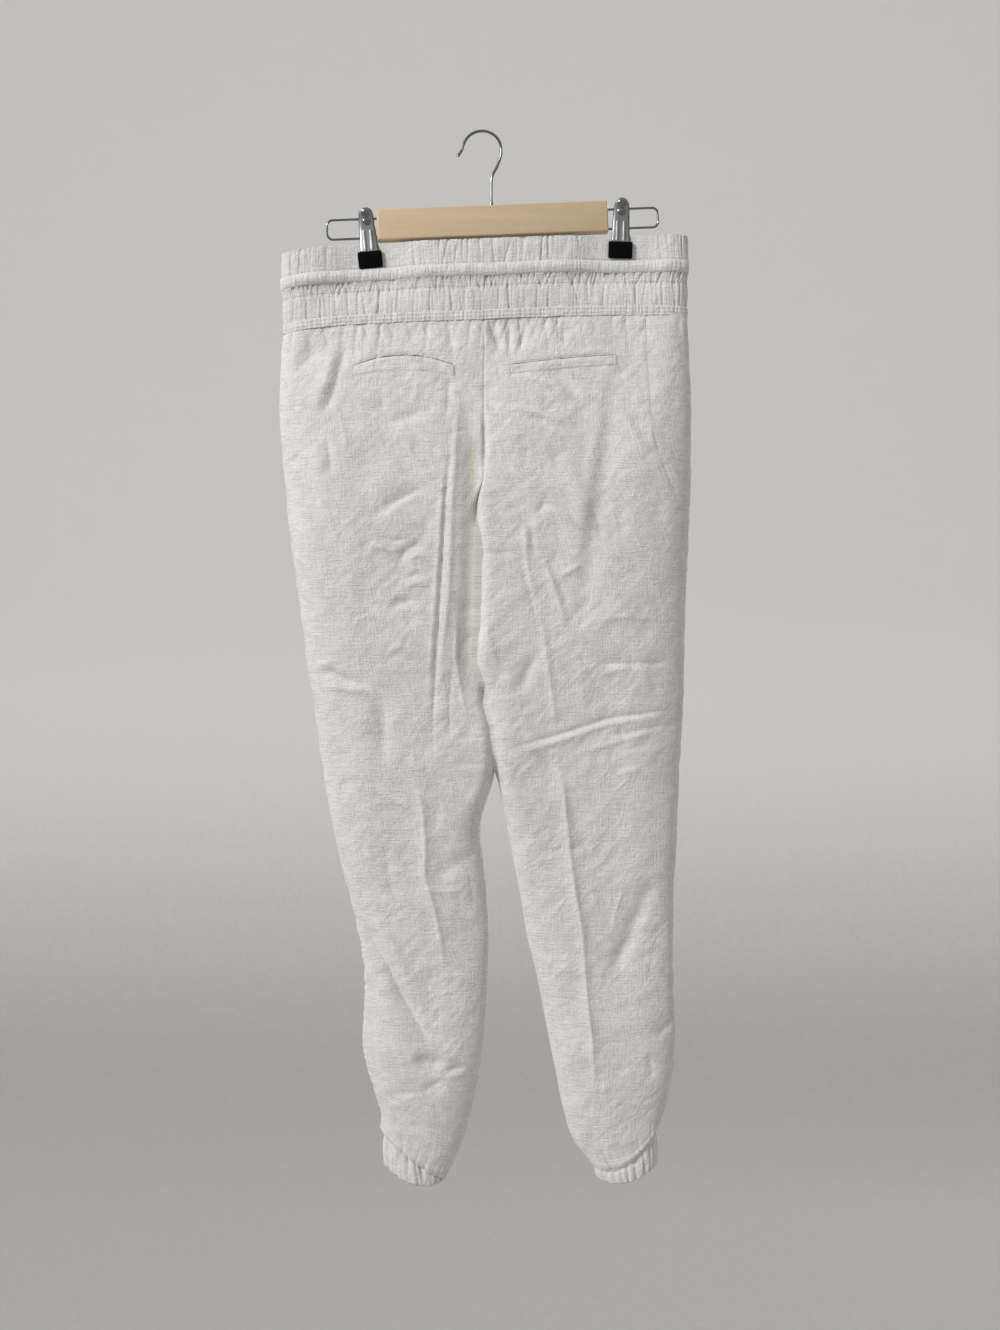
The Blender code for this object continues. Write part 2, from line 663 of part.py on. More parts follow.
def hook(chrome):
    """The wire hook: a straight stem, a sideways sweep and a round crook with a flared tip."""
    stem_x = 10.0
    foot = along_bar(0, BAR_HEIGHT / 2 - PIN_DEPTH)
    centre = HOOK_WIRE / 2 - HOOK_RADIUS
    route = [(stem_x, 0, foot[2]), (stem_x, 0, -70), (stem_x, 0, -58), (10.6, 0, -47), (16.0, 0, -36)]
    for degrees in range(-8, 166, 14):
        angle = math.radians(degrees)
        route.append((HOOK_RADIUS * math.cos(angle), 0, centre + HOOK_RADIUS * math.sin(angle)))
    route += [(-22.4, 0, -20.5), (-26.0, 0, -25.5)]
    wire("hanger_hook", smooth_path(route, 5.0), HOOK_WIRE, chrome, sides=3)
    return stem_x


def bar(wood, stem_x):
    made = box("hanger_bar", along_bar(0, 0), (BAR_LENGTH, BAR_THICKNESS, BAR_HEIGHT), wood,
               BAR_TILT, BAR_EDGE)
    top = along_bar(0, BAR_HEIGHT / 2)[2]
    hole = drill("stem_hole", (stem_x, 0, top), HOOK_WIRE + 2 * WIRE_CLEARANCE,
                 2 * (PIN_DEPTH + 1), (0, 0, 1))
    cut(made, hole)
    axis = (math.cos(BAR_TILT), 0, math.sin(BAR_TILT))
    for end in (-1, 1):
        for up in (LOOP_TOP, LOOP_BOTTOM):
            place = along_bar(end * BAR_LENGTH / 2, up)
            hole = drill(f"loop_hole_{end}_{up}", place, LOOP_WIRE + 2 * WIRE_CLEARANCE,
                         2 * (PIN_DEPTH + 1), axis)
            cut(made, hole)


def loops(chrome):
    """A rounded wire loop out of each end of the bar, which the clip slides on."""
    for name, end in (("loop_left", -1), ("loop_right", 1)):
        start = BAR_LENGTH / 2 - PIN_DEPTH
        flat = [(start, LOOP_TOP), (BAR_LENGTH / 2 + 20, LOOP_TOP)]
        for corner, first in ((LOOP_TOP - LOOP_CORNER, 90), (LOOP_BOTTOM + LOOP_CORNER, 0)):
            for degrees in (first, first - 22.5, first - 45, first - 67.5, first - 90):
                angle = math.radians(degrees)
                flat.append((LOOP_REACH - LOOP_CORNER + LOOP_CORNER * math.cos(angle),
                             corner + LOOP_CORNER * math.sin(angle)))
        flat += [(BAR_LENGTH / 2 + 20, LOOP_BOTTOM), (start, LOOP_BOTTOM)]
        wire(name, [along_bar(end * along, up) for along, up in flat], LOOP_WIRE, chrome)


def clip_place(clip, across, down, y):
    """A point of a clip from its plate's top, across and down the plate."""
    _, (x, z), lean = clip
    return (
        x + across * math.cos(lean) + down * math.sin(lean),
        y,
        z + across * math.sin(lean) - down * math.cos(lean),
    )


def clips(chrome, rubber):
    for clip in CLIPS:
        name, _, lean = clip
        pad_middle = CLAMPED_HALF_DEPTH + SEAM_GAP + PAD_THICKNESS / 2
        for face, side in (("front", -1), ("back", 1)):
            outer, inner = [], []
            for down, half_width, centre in PLATE_ROWS:
                across = np.linspace(-half_width, half_width, 5)
                for layer, lift in ((outer, PLATE_WALL / 2), (inner, -PLATE_WALL / 2)):
                    curl = 0.5 * (across / half_width) ** 2 * (down < PLATE_ROWS[-2][0])
                    layer.append([clip_place(clip, a, down, side * (centre + lift - c))
                                  for a, c in zip(across, curl)])
            wall(f"{name}_{face}_plate", np.array(outer), np.array(inner), chrome)
            centre = clip_place(clip, 0, PAD_TOP + PAD_HEIGHT / 2, side * pad_middle)
            pad = box(f"{name}_{face}_pad", centre, (PAD_WIDTH, PAD_THICKNESS, PAD_HEIGHT), rubber,
                      lean, 1.0)
            slot = box(f"{name}_{face}_slot", clip_place(clip, 0, PAD_TOP, side * pad_middle),
                       (2 * PLATE_ROWS[-1][1] + 2 * SEAM_GAP, PLATE_WALL + 2 * SEAM_GAP,
                        2 * PAD_SLOT_DEPTH), rubber, lean)
            cut(pad, slot)
        along = ((clip_place(clip, 0, 20, 0)[0] - BAR_CENTRE[0]) / math.cos(BAR_TILT))
        middle = (LOOP_TOP + LOOP_BOTTOM) / 2
        height = LOOP_TOP - LOOP_BOTTOM + LOOP_WIRE + 2 * WIRE_CLEARANCE
        depth = LOOP_WIRE + 2 * WIRE_CLEARANCE
        skin = 2 * SLEEVE_WALL
        sleeve = box(f"{name}_sleeve", along_bar(along, middle),
                     (SLEEVE_WIDTH, depth + skin, height + skin), chrome, BAR_TILT, 0.5)
        hollow = box(f"{name}_hollow", along_bar(along, middle),
                     (2 * SLEEVE_WIDTH, depth, height), chrome, BAR_TILT)
        cut(sleeve, hollow)
        rivet(f"{name}_rivet", clip, chrome)


def rivet(name, clip, chrome):
    """A domed rivet head on the front plate."""
    slope = math.atan2(PLATE_ROWS[0][2] - PLATE_ROWS[3][2], PLATE_ROWS[3][0])
    radius, height, down = 4.6, 1.8, 5.6
    surface = np.interp(down, [row[0] for row in PLATE_ROWS], [row[2] for row in PLATE_ROWS])
    rings = ((radius, 0.0), (radius, 0.5), (radius * 0.8, height * 0.75), (radius * 0.4, height))
    turns = np.linspace(0, 2 * math.pi, 12, endpoint=False)
    points, faces = [], []
    base = surface + PLATE_WALL / 2 + SEAM_GAP
    for ring, lift in rings:
        for turn in turns:
            up = down + ring * math.sin(turn)
            out = base + lift + (down - up) * math.tan(slope)
            points.append(clip_place(clip, ring * math.cos(turn), up, -out))
    count = len(turns)
    for i in range(len(rings) - 1):
        for j in range(count):
            a, b = i * count + j, i * count + (j + 1) % count
            faces.append((a, b, b + count, a + count))
    faces.append(tuple(reversed(range(count))))
    faces.append(tuple(range((len(rings) - 1) * count, len(rings) * count)))
    outward(add_mesh(name, points, faces, chrome))


def build():
    clear_scene()
    linen = material("White linen", (0.80, 0.79, 0.77), 0.85)
    wood = material("Pale beech", (0.62, 0.47, 0.31), 0.5)
    chrome = material("Chromed steel", (0.72, 0.72, 0.72), 0.18, 1.0)
    rubber = material("Black rubber", (0.02, 0.02, 0.02), 0.6)
    legs = {"left": Leg(LEFT_LEG, -1), "right": Leg(RIGHT_LEG, 1)}
    waistband(linen)
    drawcord_tunnel(linen)
    eyelets(linen)
    panels(legs, linen)
    welts(linen)
    cuffs(legs, linen)
    bar(wood, hook(chrome))
    loops(chrome)
    clips(chrome, rubber)


build()
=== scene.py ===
"""Pull-on linen trousers on a wooden clip hanger, laid out as a Blender add-on.

Sizes in the tables are millimetres, and MM turns them into metres. +X runs along the hanger bar,
+Z is up and the trousers' back faces -Y. "Drop" is a distance below the hook's inner top, and
"down" is a distance below the waistband's top edge.
"""

import math

import bmesh
import bpy
import numpy as np
from bpy.props import FloatProperty, FloatVectorProperty, IntProperty, PointerProperty
from bpy.types import Operator, Panel, PropertyGroup
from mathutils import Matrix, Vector


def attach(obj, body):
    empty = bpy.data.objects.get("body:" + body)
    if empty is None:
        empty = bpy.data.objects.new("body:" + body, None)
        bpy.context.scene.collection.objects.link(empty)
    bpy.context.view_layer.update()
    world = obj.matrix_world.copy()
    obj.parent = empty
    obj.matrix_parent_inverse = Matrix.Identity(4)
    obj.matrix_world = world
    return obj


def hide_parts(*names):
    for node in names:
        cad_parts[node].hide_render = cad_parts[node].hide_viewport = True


bl_info = {
    "name": "Linen Trousers on a Clip Hanger",
    "version": (1, 0, 0),
    "blender": (4, 5, 0),
    "location": "View3D > Sidebar > Trousers",
    "description": "Builds gathered linen trousers, their stitching and the hanger that holds them",
    "category": "Object",
}

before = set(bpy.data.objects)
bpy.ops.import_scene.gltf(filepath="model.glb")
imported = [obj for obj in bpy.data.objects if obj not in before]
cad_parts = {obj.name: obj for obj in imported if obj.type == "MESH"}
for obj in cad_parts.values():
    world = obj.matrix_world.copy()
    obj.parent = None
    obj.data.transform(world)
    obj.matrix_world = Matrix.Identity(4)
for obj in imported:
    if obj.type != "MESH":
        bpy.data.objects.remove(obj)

MM = 0.001
FULL_TURN = 2 * math.pi
CLOTH_UV = "cloth"
# Name of the point attribute that carries painted shade for deep creases, from 0 to 1
CREASE_SHADE = "hollow"

# ---------------------------------------------------------------- sizes shared with the solids

SEAM_GAP = 0.3
UPPER_CASING, ROLL, SHIRRED_STRIP, LOWER_CASING, SEAM_BAND = 26.5, 13.0, 10.5, 27.0, 9.0
STRIP_TOP = UPPER_CASING + ROLL
LOWER_TOP = STRIP_TOP + SHIRRED_STRIP
CASING_HEIGHT = LOWER_TOP + LOWER_CASING
BAND_HEIGHT = CASING_HEIGHT + SEAM_BAND
ROLL_DEPTH = 5.6
WAIST_HALF_DEPTH, WAIST_TOP_HALF_DEPTH, CLAMPED_HALF_DEPTH = 10.0, 9.0, 3.0
WAIST_LEFT, WAIST_RIGHT = -213.5, 218.5
PANEL_LEFT, PANEL_RIGHT = -211.0, 217.5
CENTRE_BACK = 2.3
TOP_EDGE_X = (-214, -171, -105, 0, 110, 219)
TOP_EDGE_DROP = (129.5, 123.5, 118.8, 114.8, 111.0, 110.4)

BAR_LENGTH, BAR_HEIGHT, BAR_THICKNESS = 245.0, 33.0, 13.0
BAR_CENTRE = (11.1, -95.0)
BAR_TILT = math.radians(2.23)
HOOK_WIRE, HOOK_RADIUS, STEM_X = 3.0, 20.5, 10.0
HOOK_STEM = ((STEM_X, 0, -70), (STEM_X, 0, -58), (10.6, 0, -47), (16.0, 0, -36))
HOOK_TIP = ((-22.4, 0, -20.5), (-26.0, 0, -25.5))
# Height over the bar and radius
FERRULE = ((-0.3, 4.0), (0.6, 4.0), (1.0, 3.6), (1.2, 2.4), (3.4, 2.3), (3.8, 1.8))
LOOP_WIRE, LOOP_REACH, LOOP_TOP, LOOP_BOTTOM, LOOP_CORNER = 2.4, 175.5, 8.3, -12.3, 6.0
PIN_DEPTH = 12.0
# Each clip's name, the top of its plates as (x, height), and its lean
CLIPS = (
    ("clip_left", (-123.7, -82.0), math.radians(5.8)),
    ("clip_right", (148.2, -71.6), math.radians(-2.0)),
)
PLATE_WALL = 1.0
RIB_OFFSET, RIB_TOP, RIB_HALF_WIDTH = 3.6, 24.5, 1.4
PAD_WIDTH, PAD_HEIGHT, PAD_THICKNESS, PAD_TOP = 25.5, 17.8, 3.6, 45.8
SLEEVE_WIDTH, SLEEVE_WALL, SLEEVE_ROOM, SLEEVE_CORNER = 12.0, 0.6, 1.0, 1.2
SLEEVE_DOWN = 20
# Each rivet's distance down the plate, radius and height. Only the upper one is a solid of its own
UPPER_RIVET, LOWER_RIVET = (5.4, 4.6, 2.1), (13.2, 4.3, 1.6)
# Distance down the plate, half width, and distance from the clip's middle plane
PLATE_ROWS = (
    (0.0, 3.0, 6.6), (1.6, 5.6, 6.2), (4.5, 7.2, 5.5), (9.0, 7.9, 4.4),
    (14.0, 8.4, 3.5), (34.0, 9.2, 3.5), (45.0, 9.8, 5.1), (57.5, 9.8, 5.1),
)

# rise lifts the outer edge and sag lowers the middle of a row. back and front are the depths,
# closed tells how far the inner edge is turned in, and seam where the side seam lies
LEG_COLUMNS = ("drop", "rise", "outer", "inner", "back", "front", "closed", "seam", "sag")
LEFT_LEG = (
    (201, 0, PANEL_LEFT, 2.3, 10, 10, 0, 0, 0),
    (274, 0, -215.0, 2.3, 20, 13, 0, 0, 0),
    (327, 0, -213.4, 2.3, 26, 15, 0, 0, 0),
    (369, 0, -209.0, 1.8, 29, 16, 0, 0, 0),
    (396, 0, -206.5, -5.5, 30, 16, 0.35, 0, 0),
    (433, 0, -203.5, -7.7, 30, 17, 0.85, 0, 0),
    (450, 0, -201.0, -7.7, 29, 17, 1, 0, 0),
    (521, 0, -190.5, -8.8, 27, 17, 1, 0, 0),
    (565, 0, -185.4, -10.5, 26, 17, 1, 0, 0),
    (600, 0, -179.6, 4.0, 25, 17, 1, 0, 0),
    (631, 0, -174.9, 12.0, 24, 17, 1, 0, 0),
    (681, 0, -167.8, 12.6, 23, 16, 1, 0, 0),
    (735, 0, -158.3, -1.4, 22, 15, 1, 0, 0),
    (774, 0, -149.8, 2.0, 21, 15, 1, 0, 0),
    (809, 0, -140.5, 5.4, 20, 15, 1, 0, 0),
    (851, 0, -130.8, 7.4, 19, 14, 1, 0, 0),
    (894, 0, -124.6, 6.3, 19, 14, 1, 0, 0),
    (931, 0, -125.2, 4.6, 20, 15, 1, 0, 0),
    (968, 0, -126.4, 1.7, 21, 15, 1, 0, 0),
    (1000, 4, -120.6, -3.5, 21, 16, 1, 0, 0),
    (1037, 13, -112.1, -11.3, 20, 17, 1, 0, 0),
    (1069, 29, -107.0, -20.7, 19, 18, 1, 0, 2),
    (1109, 53, -108.4, -38.9, 18, 18, 1, 0, 3),
)
RIGHT_LEG = (
    (201, 0, PANEL_RIGHT, 2.3, 10, 10, 0, 0.21, 0),
    (274, 0, 221.5, 2.3, 20, 13, 0, 0.21, 0),
    (327, 0, 222.0, 2.3, 26, 15, 0, 0.19, 0),
    (369, 0, 221.2, 1.8, 29, 16, 0, 0.12, 0),
    (396, 0, 220.5, -5.5, 30, 16, 0.35, 0.06, 0),
    (433, 0, 219.1, -7.7, 30, 17, 0.85, 0.01, 0),
    (450, 0, 218.0, -7.7, 30, 17, 1, 0, 0),
    (521, 0, 215.4, -8.8, 30, 17, 1, 0, 0),
    (565, 0, 214.4, -10.5, 29, 17, 1, 0, 0),
    (600, 0, 213.8, 4.0, 27, 17, 1, 0, 0),
    (631, 0, 212.0, 13.0, 26, 17, 1, 0, 0),
    (681, 0, 209.0, 16.4, 24, 16, 1, 0, 0),
    (735, 0, 207.1, 26.0, 22, 15, 1, 0, 0),
    (774, 0, 205.1, 33.6, 21, 15, 1, 0, 0),
    (809, 0, 203.4, 40.5, 20, 15, 1, 0, 0),
    (851, 0, 202.9, 47.4, 19, 14, 1, 0, 0),
    (894, 0, 202.9, 58.0, 19, 14, 1, 0, 0),
    (931, 0, 204.2, 65.2, 20, 15, 1, 0, 0),
    (968, 0, 204.6, 72.3, 21, 15, 1, 0, 0),
    (1000, 4, 202.0, 78.9, 21, 16, 1, 0, 0),
    (1037, 18, 197.9, 86.4, 20, 17, 1, 0, 4),
    (1069, 31, 192.5, 97.2, 19, 18, 1, 0, 10),
    (1095, 45, 188.4, 117.9, 18, 18, 1, 0, 18),
)
# The rows follow the waist seam's slope above this drop
WAIST_SLANT_ENDS = 345
EDGE_ROUNDING, WIDEST_ROUNDING = 3.0, 0.48
LEG_ROUNDING, INNER_ROUNDING = 0.8 * EDGE_ROUNDING, 0.6
# How far the panels draw in under the seam band and at the hem
WAIST_TUCK, HEM_TUCK = 0.25, 2.0
# Between these drops a leg's inner edge goes from tightly to widely rounded
INNER_WIDENS = (660, 840)

# Name, side, each end as (x, upper drop, lower drop), and how far the upper and lower edge arch up
WELTS = (
    ("pocket_welt_left", "left", (-137.0, 253.0, 264.5), (-28.5, 251.5, 264.0), 11.5, 5.5),
    ("pocket_welt_right", "right", (27.5, 250.5, 261.5), (142.0, 239.5, 251.5), 0.8, 0.3),
)
# Each front pocket's line: its x at its upper and at its lower end
FRONT_POCKETS = (("left", -148, -212), ("right", 150, 218))
FRONT_POCKET_TOP, FRONT_POCKET_HEIGHT, POCKET_ROW_GAP = 212, 128, 6
POCKET_TACK = ((197, 340), (201, 347))
# Name, side, the lower edge's outer and inner end as (x, drop), and how much lower its middle
# hangs
CUFFS = (
    ("cuff_left", "left", (-103.5, 1095.0), (-42.5, 1112.0), 7.0),
    ("cuff_right", "right", (185.5, 1094.0), (122.5, 1108.0), 8.0),
)
CUFF_HALF_DEPTH = 17.0
EYELET_OUTER, EYELET_INNER, EYELET_SPACING = 4.2, 2.2, 46.0

# ---------------------------------------------------------------- creases

# Path as (x, drop) points, half width, height (a valley is negative), and how pointed its section
# is (2 is a soft round one, 1 a pressed line)
BACK_CREASES = (
    # between the legs
    (((-12, 268), (-11, 354), (-13, 433), (-15, 496), (-18, 556), (-11, 592), (3, 617), (9, 632)),
     11, -5.4, 2),
    (((-6, 560), (-1, 584), (5, 606), (9, 622)), 4.5, -3.4, 1.6),
    (((-21, 262), (-27, 330), (-31, 395), (-33, 458), (-36, 505), (-42, 560), (-45, 600)),
     3.0, 1.6, 1.7),
    (((-30, 318), (-33, 350), (-37, 381), (-40, 438), (-45, 521), (-48, 560), (-51, 626),
      (-51, 672)), 1.8, -2.4, 1.2),
    (((-37, 330), (-42, 400), (-47, 470), (-52, 540), (-57, 610)), 2.6, 1.4, 1.5),
    (((-26, 500), (-27, 560), (-20, 600), (-14, 628)), 2.2, 1.6, 1.4),
    (((-31, 560), (-34, 610), (-33, 650)), 2.4, -1.6, 1.4),
    (((-5, 448), (16, 449), (36, 448)), 2.5, -1.5, 1.4),
    (((2, 290), (3, 330), (2, 369)), 3, -3.5, 1.5),
    # pocket openings
    (((-136, 251.5), (-110, 243), (-83, 239.3), (-56, 242), (-30, 250)), 1.4, -1.7, 1.3),
    (((28, 249), (56, 246.2), (85, 243), (113, 240.6), (141, 238)), 1.4, -1.7, 1.3),
    # left hip
    (((-140, 213), (-150, 258), (-156, 282), (-169, 310)), 5, -2.8, 1.4),
    (((-152, 220), (-162, 262), (-176, 305)), 8, 2.8, 2),
    (((-174, 213), (-179, 231), (-195, 263)), 9, -3.4, 2),
    (((-210, 293), (-204, 291), (-199, 296)), 3, 1.2, 1.6),
    (((-213, 331), (-206, 363)), 7, -1.8, 2),
    (((-193, 371), (-167, 419)), 8, -2.2, 2),
    (((-177, 333), (-166, 368)), 7, 2.0, 2),
    (((-146, 280), (-120, 294), (-94, 312), (-58, 298), (-38, 284)), 7, -2.4, 1.8),
    (((-34, 261), (-35, 285), (-37, 311)), 3, -2.2, 1.4),
    (((-37, 196), (-34, 215), (-31, 240)), 4, -3.2, 1.5),
    # left thigh
    (((-50, 374), (-73, 386), (-95, 398), (-118, 413)), 6.5, -3.6, 1.6),
    (((-56, 384), (-84, 398), (-104, 412)), 4, 1.6, 1.6),
    (((-88, 466), (-80, 446), (-68, 440), (-56, 449)), 4, -2.8, 1.5),
    (((-78, 457), (-66, 450), (-52, 458)), 2.6, 2.0, 1.4),
    (((-80, 476), (-68, 469), (-57, 475)), 2.8, -2.2, 1.4),
    (((-80, 484), (-66, 479), (-54, 484)), 2.8, 1.8, 1.5),
    (((-100, 506), (-84, 500), (-66, 497)), 5.5, -3.4, 1.6),
    (((-116, 430), (-92, 436), (-68, 432)), 3, -1.8, 1.4),
    (((-120, 438), (-98, 446), (-70, 443)), 3, 1.6, 1.4),
    (((-186, 404), (-170, 428), (-154, 440)), 4, -1.8, 1.6),
    (((-148, 300), (-142, 330), (-140, 352)), 3, 1.4, 1.4),
    (((-163, 322), (-158, 352), (-156, 372)), 3.4, -2.0, 1.5),
    (((-206, 322), (-190, 352), (-172, 392), (-158, 412)), 3.4, -2.2, 1.5),
    (((-196, 346), (-182, 372), (-162, 404), (-150, 432)), 4, 2.0, 1.6),
    (((-212, 330), (-203, 338)), 3, -2.4, 1.4),
    (((-208, 352), (-200, 350), (-190, 345)), 3, -2.0, 1.4),
    (((-78, 540), (-100, 556)), 4, 1.8, 1.6),
    (((-183, 572), (-167, 564), (-150, 560)), 4, 2.2, 1.5),
    (((-179, 576), (-156, 572), (-135, 582), (-113, 590)), 4, -3.4, 1.4),
    (((-181, 585), (-137, 591), (-109, 593)), 4, 2.4, 1.5),
    (((-108, 591), (-102, 634), (-105, 675)), 7, -2.4, 2),
    (((-34, 641), (-12, 640), (8, 641)), 2.5, -1.0, 1.5),
    (((-34, 668), (-12, 669), (8, 668)), 2.5, -1.1, 1.5),
    # left lower leg
    (((-113, 691), (-87, 708), (-64, 720)), 5, 2.3, 1.6),
    (((-72, 676), (-62, 713), (-59, 751), (-60, 785), (-50, 818), (-42, 860), (-38, 902)),
     5, 3.2, 1.2),
    (((-54, 791), (-29, 774), (-1, 765)), 8, -2.8, 2),
    (((-1, 736), (-10, 760)), 3, -1.8, 1.4),
    (((-142, 812), (-116, 851), (-98, 882), (-82, 916), (-70, 936), (-48, 974)), 5.6, -6.4, 1.2),
    (((-122, 818), (-96, 856), (-78, 890), (-58, 930)), 9, 3.0, 1.8),
    (((-104, 742), (-96, 790), (-92, 820)), 5, -1.6, 1.7),
    (((-74, 974), (-52, 983), (-34, 978)), 8, -5.4, 1.8),
    (((-40, 990), (-15, 986)), 3, -2.8, 1.3),
    (((-38, 997), (-15, 993)), 3.5, 1.8, 1.5),
    (((-41, 1000), (-63, 1012)), 5, -2.6, 1.6),
    # right hip
    (((6, 202), (12, 216), (21, 236)), 5, -5.0, 1.6),
    (((29, 196), (29, 242)), 3, -3.4, 1.3),
    (((47, 202), (38, 240)), 3.5, -3.4, 1.4),
    (((86, 204), (86, 233)), 3, -2.4, 1.4),
    (((28, 261), (51, 264), (75, 272), (106, 296)), 5, 2.5, 1.6),
    (((50, 256), (80, 262), (105, 282)), 6, -2.2, 2),
    (((22, 293), (61, 303), (94, 315)), 4, 2.2, 1.5),
    (((22, 301), (61, 311), (92, 323)), 5, -2.0, 1.8),
    (((140, 236), (135, 290), (127, 340), (121, 390), (114, 440), (107, 490), (100, 540)),
     11, -2.6, 1.9),
    (((131, 250), (122, 320), (110, 390), (101, 450), (92, 510)), 7, 1.4, 1.8),
    (((86, 340), (100, 380), (108, 430)), 8, 1.6, 2),
    # right thigh
    (((24, 352), (44, 372), (62, 386), (66, 394)), 3.4, 2.6, 1.4),
    (((66, 394), (62, 402), (58, 408)), 2.6, -1.8, 1.4),
    (((68, 398), (86, 412), (108, 428)), 3.4, 2.4, 1.4),
    (((12, 300), (40, 306), (70, 318), (92, 330)), 5, 1.8, 1.7),
    (((44, 408), (46, 438), (48, 464), (56, 500)), 2.6, 1.8, 1.4),
    (((50, 408), (53, 438), (56, 460)), 2.6, -1.4, 1.4),
    (((58, 444), (72, 474), (86, 516), (90, 531)), 3, 1.9, 1.4),
    (((66, 446), (84, 488), (94, 520)), 3.4, -1.2, 1.5),
    (((38, 448), (50, 490), (60, 530)), 3, -1.6, 1.4),
    (((62, 509), (68, 560), (75, 610), (80, 646)), 3, 1.7, 1.3),
    (((80, 474), (94, 466), (106, 458)), 3, 1.8, 1.4),
    (((146, 300), (162, 330), (178, 350)), 2.8, 1.2, 1.4),
    (((176, 296), (178, 330), (180, 352)), 2.4, 1.1, 1.3),
    (((168, 352), (176, 344), (184, 340)), 2.4, -1.2, 1.3),
    (((112, 392), (122, 420), (128, 444)), 2.6, -1.2, 1.4),
    (((134, 392), (140, 420), (142, 452)), 2.6, 1.2, 1.4),
    (((112, 520), (150, 514), (192, 520)), 3, 1.4, 1.4),
    (((106, 563), (161, 563), (211, 563)), 3.5, -2.6, 1.4),
    (((115, 577), (159, 565)), 4, 1.8, 1.6),
    (((61, 547), (46, 574), (36, 601)), 6, -3.4, 1.7),
    (((17, 659), (46, 647), (75, 640), (99, 631), (134, 620), (169, 616), (211, 609)),
     2.6, -2.8, 1.2),
    (((19, 665), (75, 646), (134, 626), (209, 615)), 3, 1.6, 1.4),
    (((92, 659), (131, 648), (190, 631)), 3.6, 1.8, 1.4),
    (((120, 640), (160, 634), (208, 624)), 3, -1.6, 1.4),
    (((50, 649), (66, 664), (82, 681)), 4, -2.8, 1.5),
    (((140, 679), (168, 673)), 3.5, 1.8, 1.5),
    # right lower leg
    (((75, 640), (84, 686), (87, 708), (92, 760), (99, 809), (106, 848), (108, 885), (112, 931),
      (115, 952), (118, 1012), (118, 1045)), 4.5, 3.4, 1.1),
    (((182, 780), (166, 823), (150, 860), (133, 897)), 9, -4.2, 1.8),
    (((160, 843), (178, 848), (197, 860)), 5, -2.2, 1.7),
    (((50, 867), (77, 881), (106, 888)), 6, 2.2, 1.8),
    (((37, 790), (51, 795), (66, 807)), 4, -2.2, 1.5),
    (((205, 938), (193, 946), (181, 956)), 5, -2.8, 1.5),
    (((175, 967), (178, 1000)), 4, -2.2, 1.6),
)
FRONT_CREASES = (
    (((2, 300), (-14, 372), (-58, 430)), 7, -3.2, 1.7),
    (((3, 310), (22, 376), (66, 424)), 7, -3.0, 1.7),
    (((-4, 360), (-24, 402), (-82, 452)), 5, 2.2, 1.6),
    (((8, 352), (36, 400), (92, 441)), 5, 2.4, 1.6),
    (((-150, 218), (-128, 300), (-114, 380), (-112, 470)), 12, -4, 2),
    (((150, 214), (136, 300), (124, 380), (118, 480)), 12, -4, 2),
    (((-12, 400), (-30, 520), (-36, 640)), 11, -5, 1.9),
    (((26, 420), (48, 560), (60, 700)), 11, -4, 1.9),
    (((-178, 300), (-146, 338), (-128, 352)), 5, -2.4, 1.6),
    (((182, 318), (158, 346), (134, 362)), 5, -2.6, 1.6),
    (((-104, 470), (-98, 600), (-80, 760), (-62, 940)), 5, 3, 1.2),
    (((106, 470), (110, 600), (118, 760), (138, 940)), 5, 3, 1.2),
    (((-176, 588), (-140, 596), (-92, 584), (-40, 600)), 4.5, -3.2, 1.5),
    (((-170, 604), (-122, 612), (-74, 602)), 4, 1.8, 1.6),
    (((40, 610), (88, 628), (140, 618), (196, 634)), 4.5, -3.4, 1.4),
    (((52, 632), (96, 646), (150, 636)), 4.5, 2.0, 1.6),
    (((-150, 690), (-104, 706), (-58, 694)), 5, -2.4, 1.7),
    (((78, 716), (124, 702), (176, 712)), 5, -2.2, 1.7),
    (((-128, 840), (-92, 874), (-44, 880)), 6, -3.0, 1.8),
    (((90, 846), (128, 868), (182, 858)), 6, -2.8, 1.8),
    (((-112, 930), (-86, 968), (-66, 1010)), 6, -3.0, 1.7),
    (((176, 930), (150, 968), (140, 1016)), 6, -3.0, 1.7),
    (((-60, 960), (-34, 984), (-18, 976)), 4, 1.8, 1.5),
    (((96, 962), (116, 988), (136, 984)), 4, 1.8, 1.5),
)
# Each third of the pleats under the waist seam: how far they lean, and over what length they end
WAIST_PLEATS = ((0.25, 5.0), (-0.35, 13.0), (0.1, 21.0))
SHORT_CREASES, SHORT_CREASE_X, SHORT_CREASE_DROPS = 330, (-215, 222), (210, 1080)
SHORT_CREASE_SEEDS = {"back": 4, "front": 9}
CRUMPLE_SEEDS = {"back": 11, "front": 21}
NOISE_CELLS = 64


def smooth_through(xs, ys, x):
    """A smooth curve through the points (xs, ys), read at x."""
    xs, ys = np.asarray(xs, float), np.asarray(ys, float)
    slopes = np.gradient(ys, xs)
    x = np.clip(x, xs[0], xs[-1])
    i = np.clip(np.searchsorted(xs, x, side="right") - 1, 0, len(xs) - 2)
    span = xs[i + 1] - xs[i]
    t = (x - xs[i]) / span
    return (
        (2 * t**3 - 3 * t**2 + 1) * ys[i]
        + (t**3 - 2 * t**2 + t) * span * slopes[i]
        + (3 * t**2 - 2 * t**3) * ys[i + 1]
        + (t**3 - t**2) * span * slopes[i + 1]
    )


def fade(x, start, end):
    """0 at start, 1 at end, smooth between."""
    t = np.clip((x - start) / (end - start), 0, 1)
    return t * t * (3 - 2 * t)


def stretch(x, starts, full, ends, gone):
    """0 before it starts, 1 from full to ends, and 0 again once it is gone."""
    return fade(x, starts, full) * (1 - fade(x, ends, gone))


def hump(x, half_width, power=2):
    """1 at x = 0 and close to 0 past twice the half width, to both sides."""
    return np.exp(-((np.abs(x) / half_width) ** power))


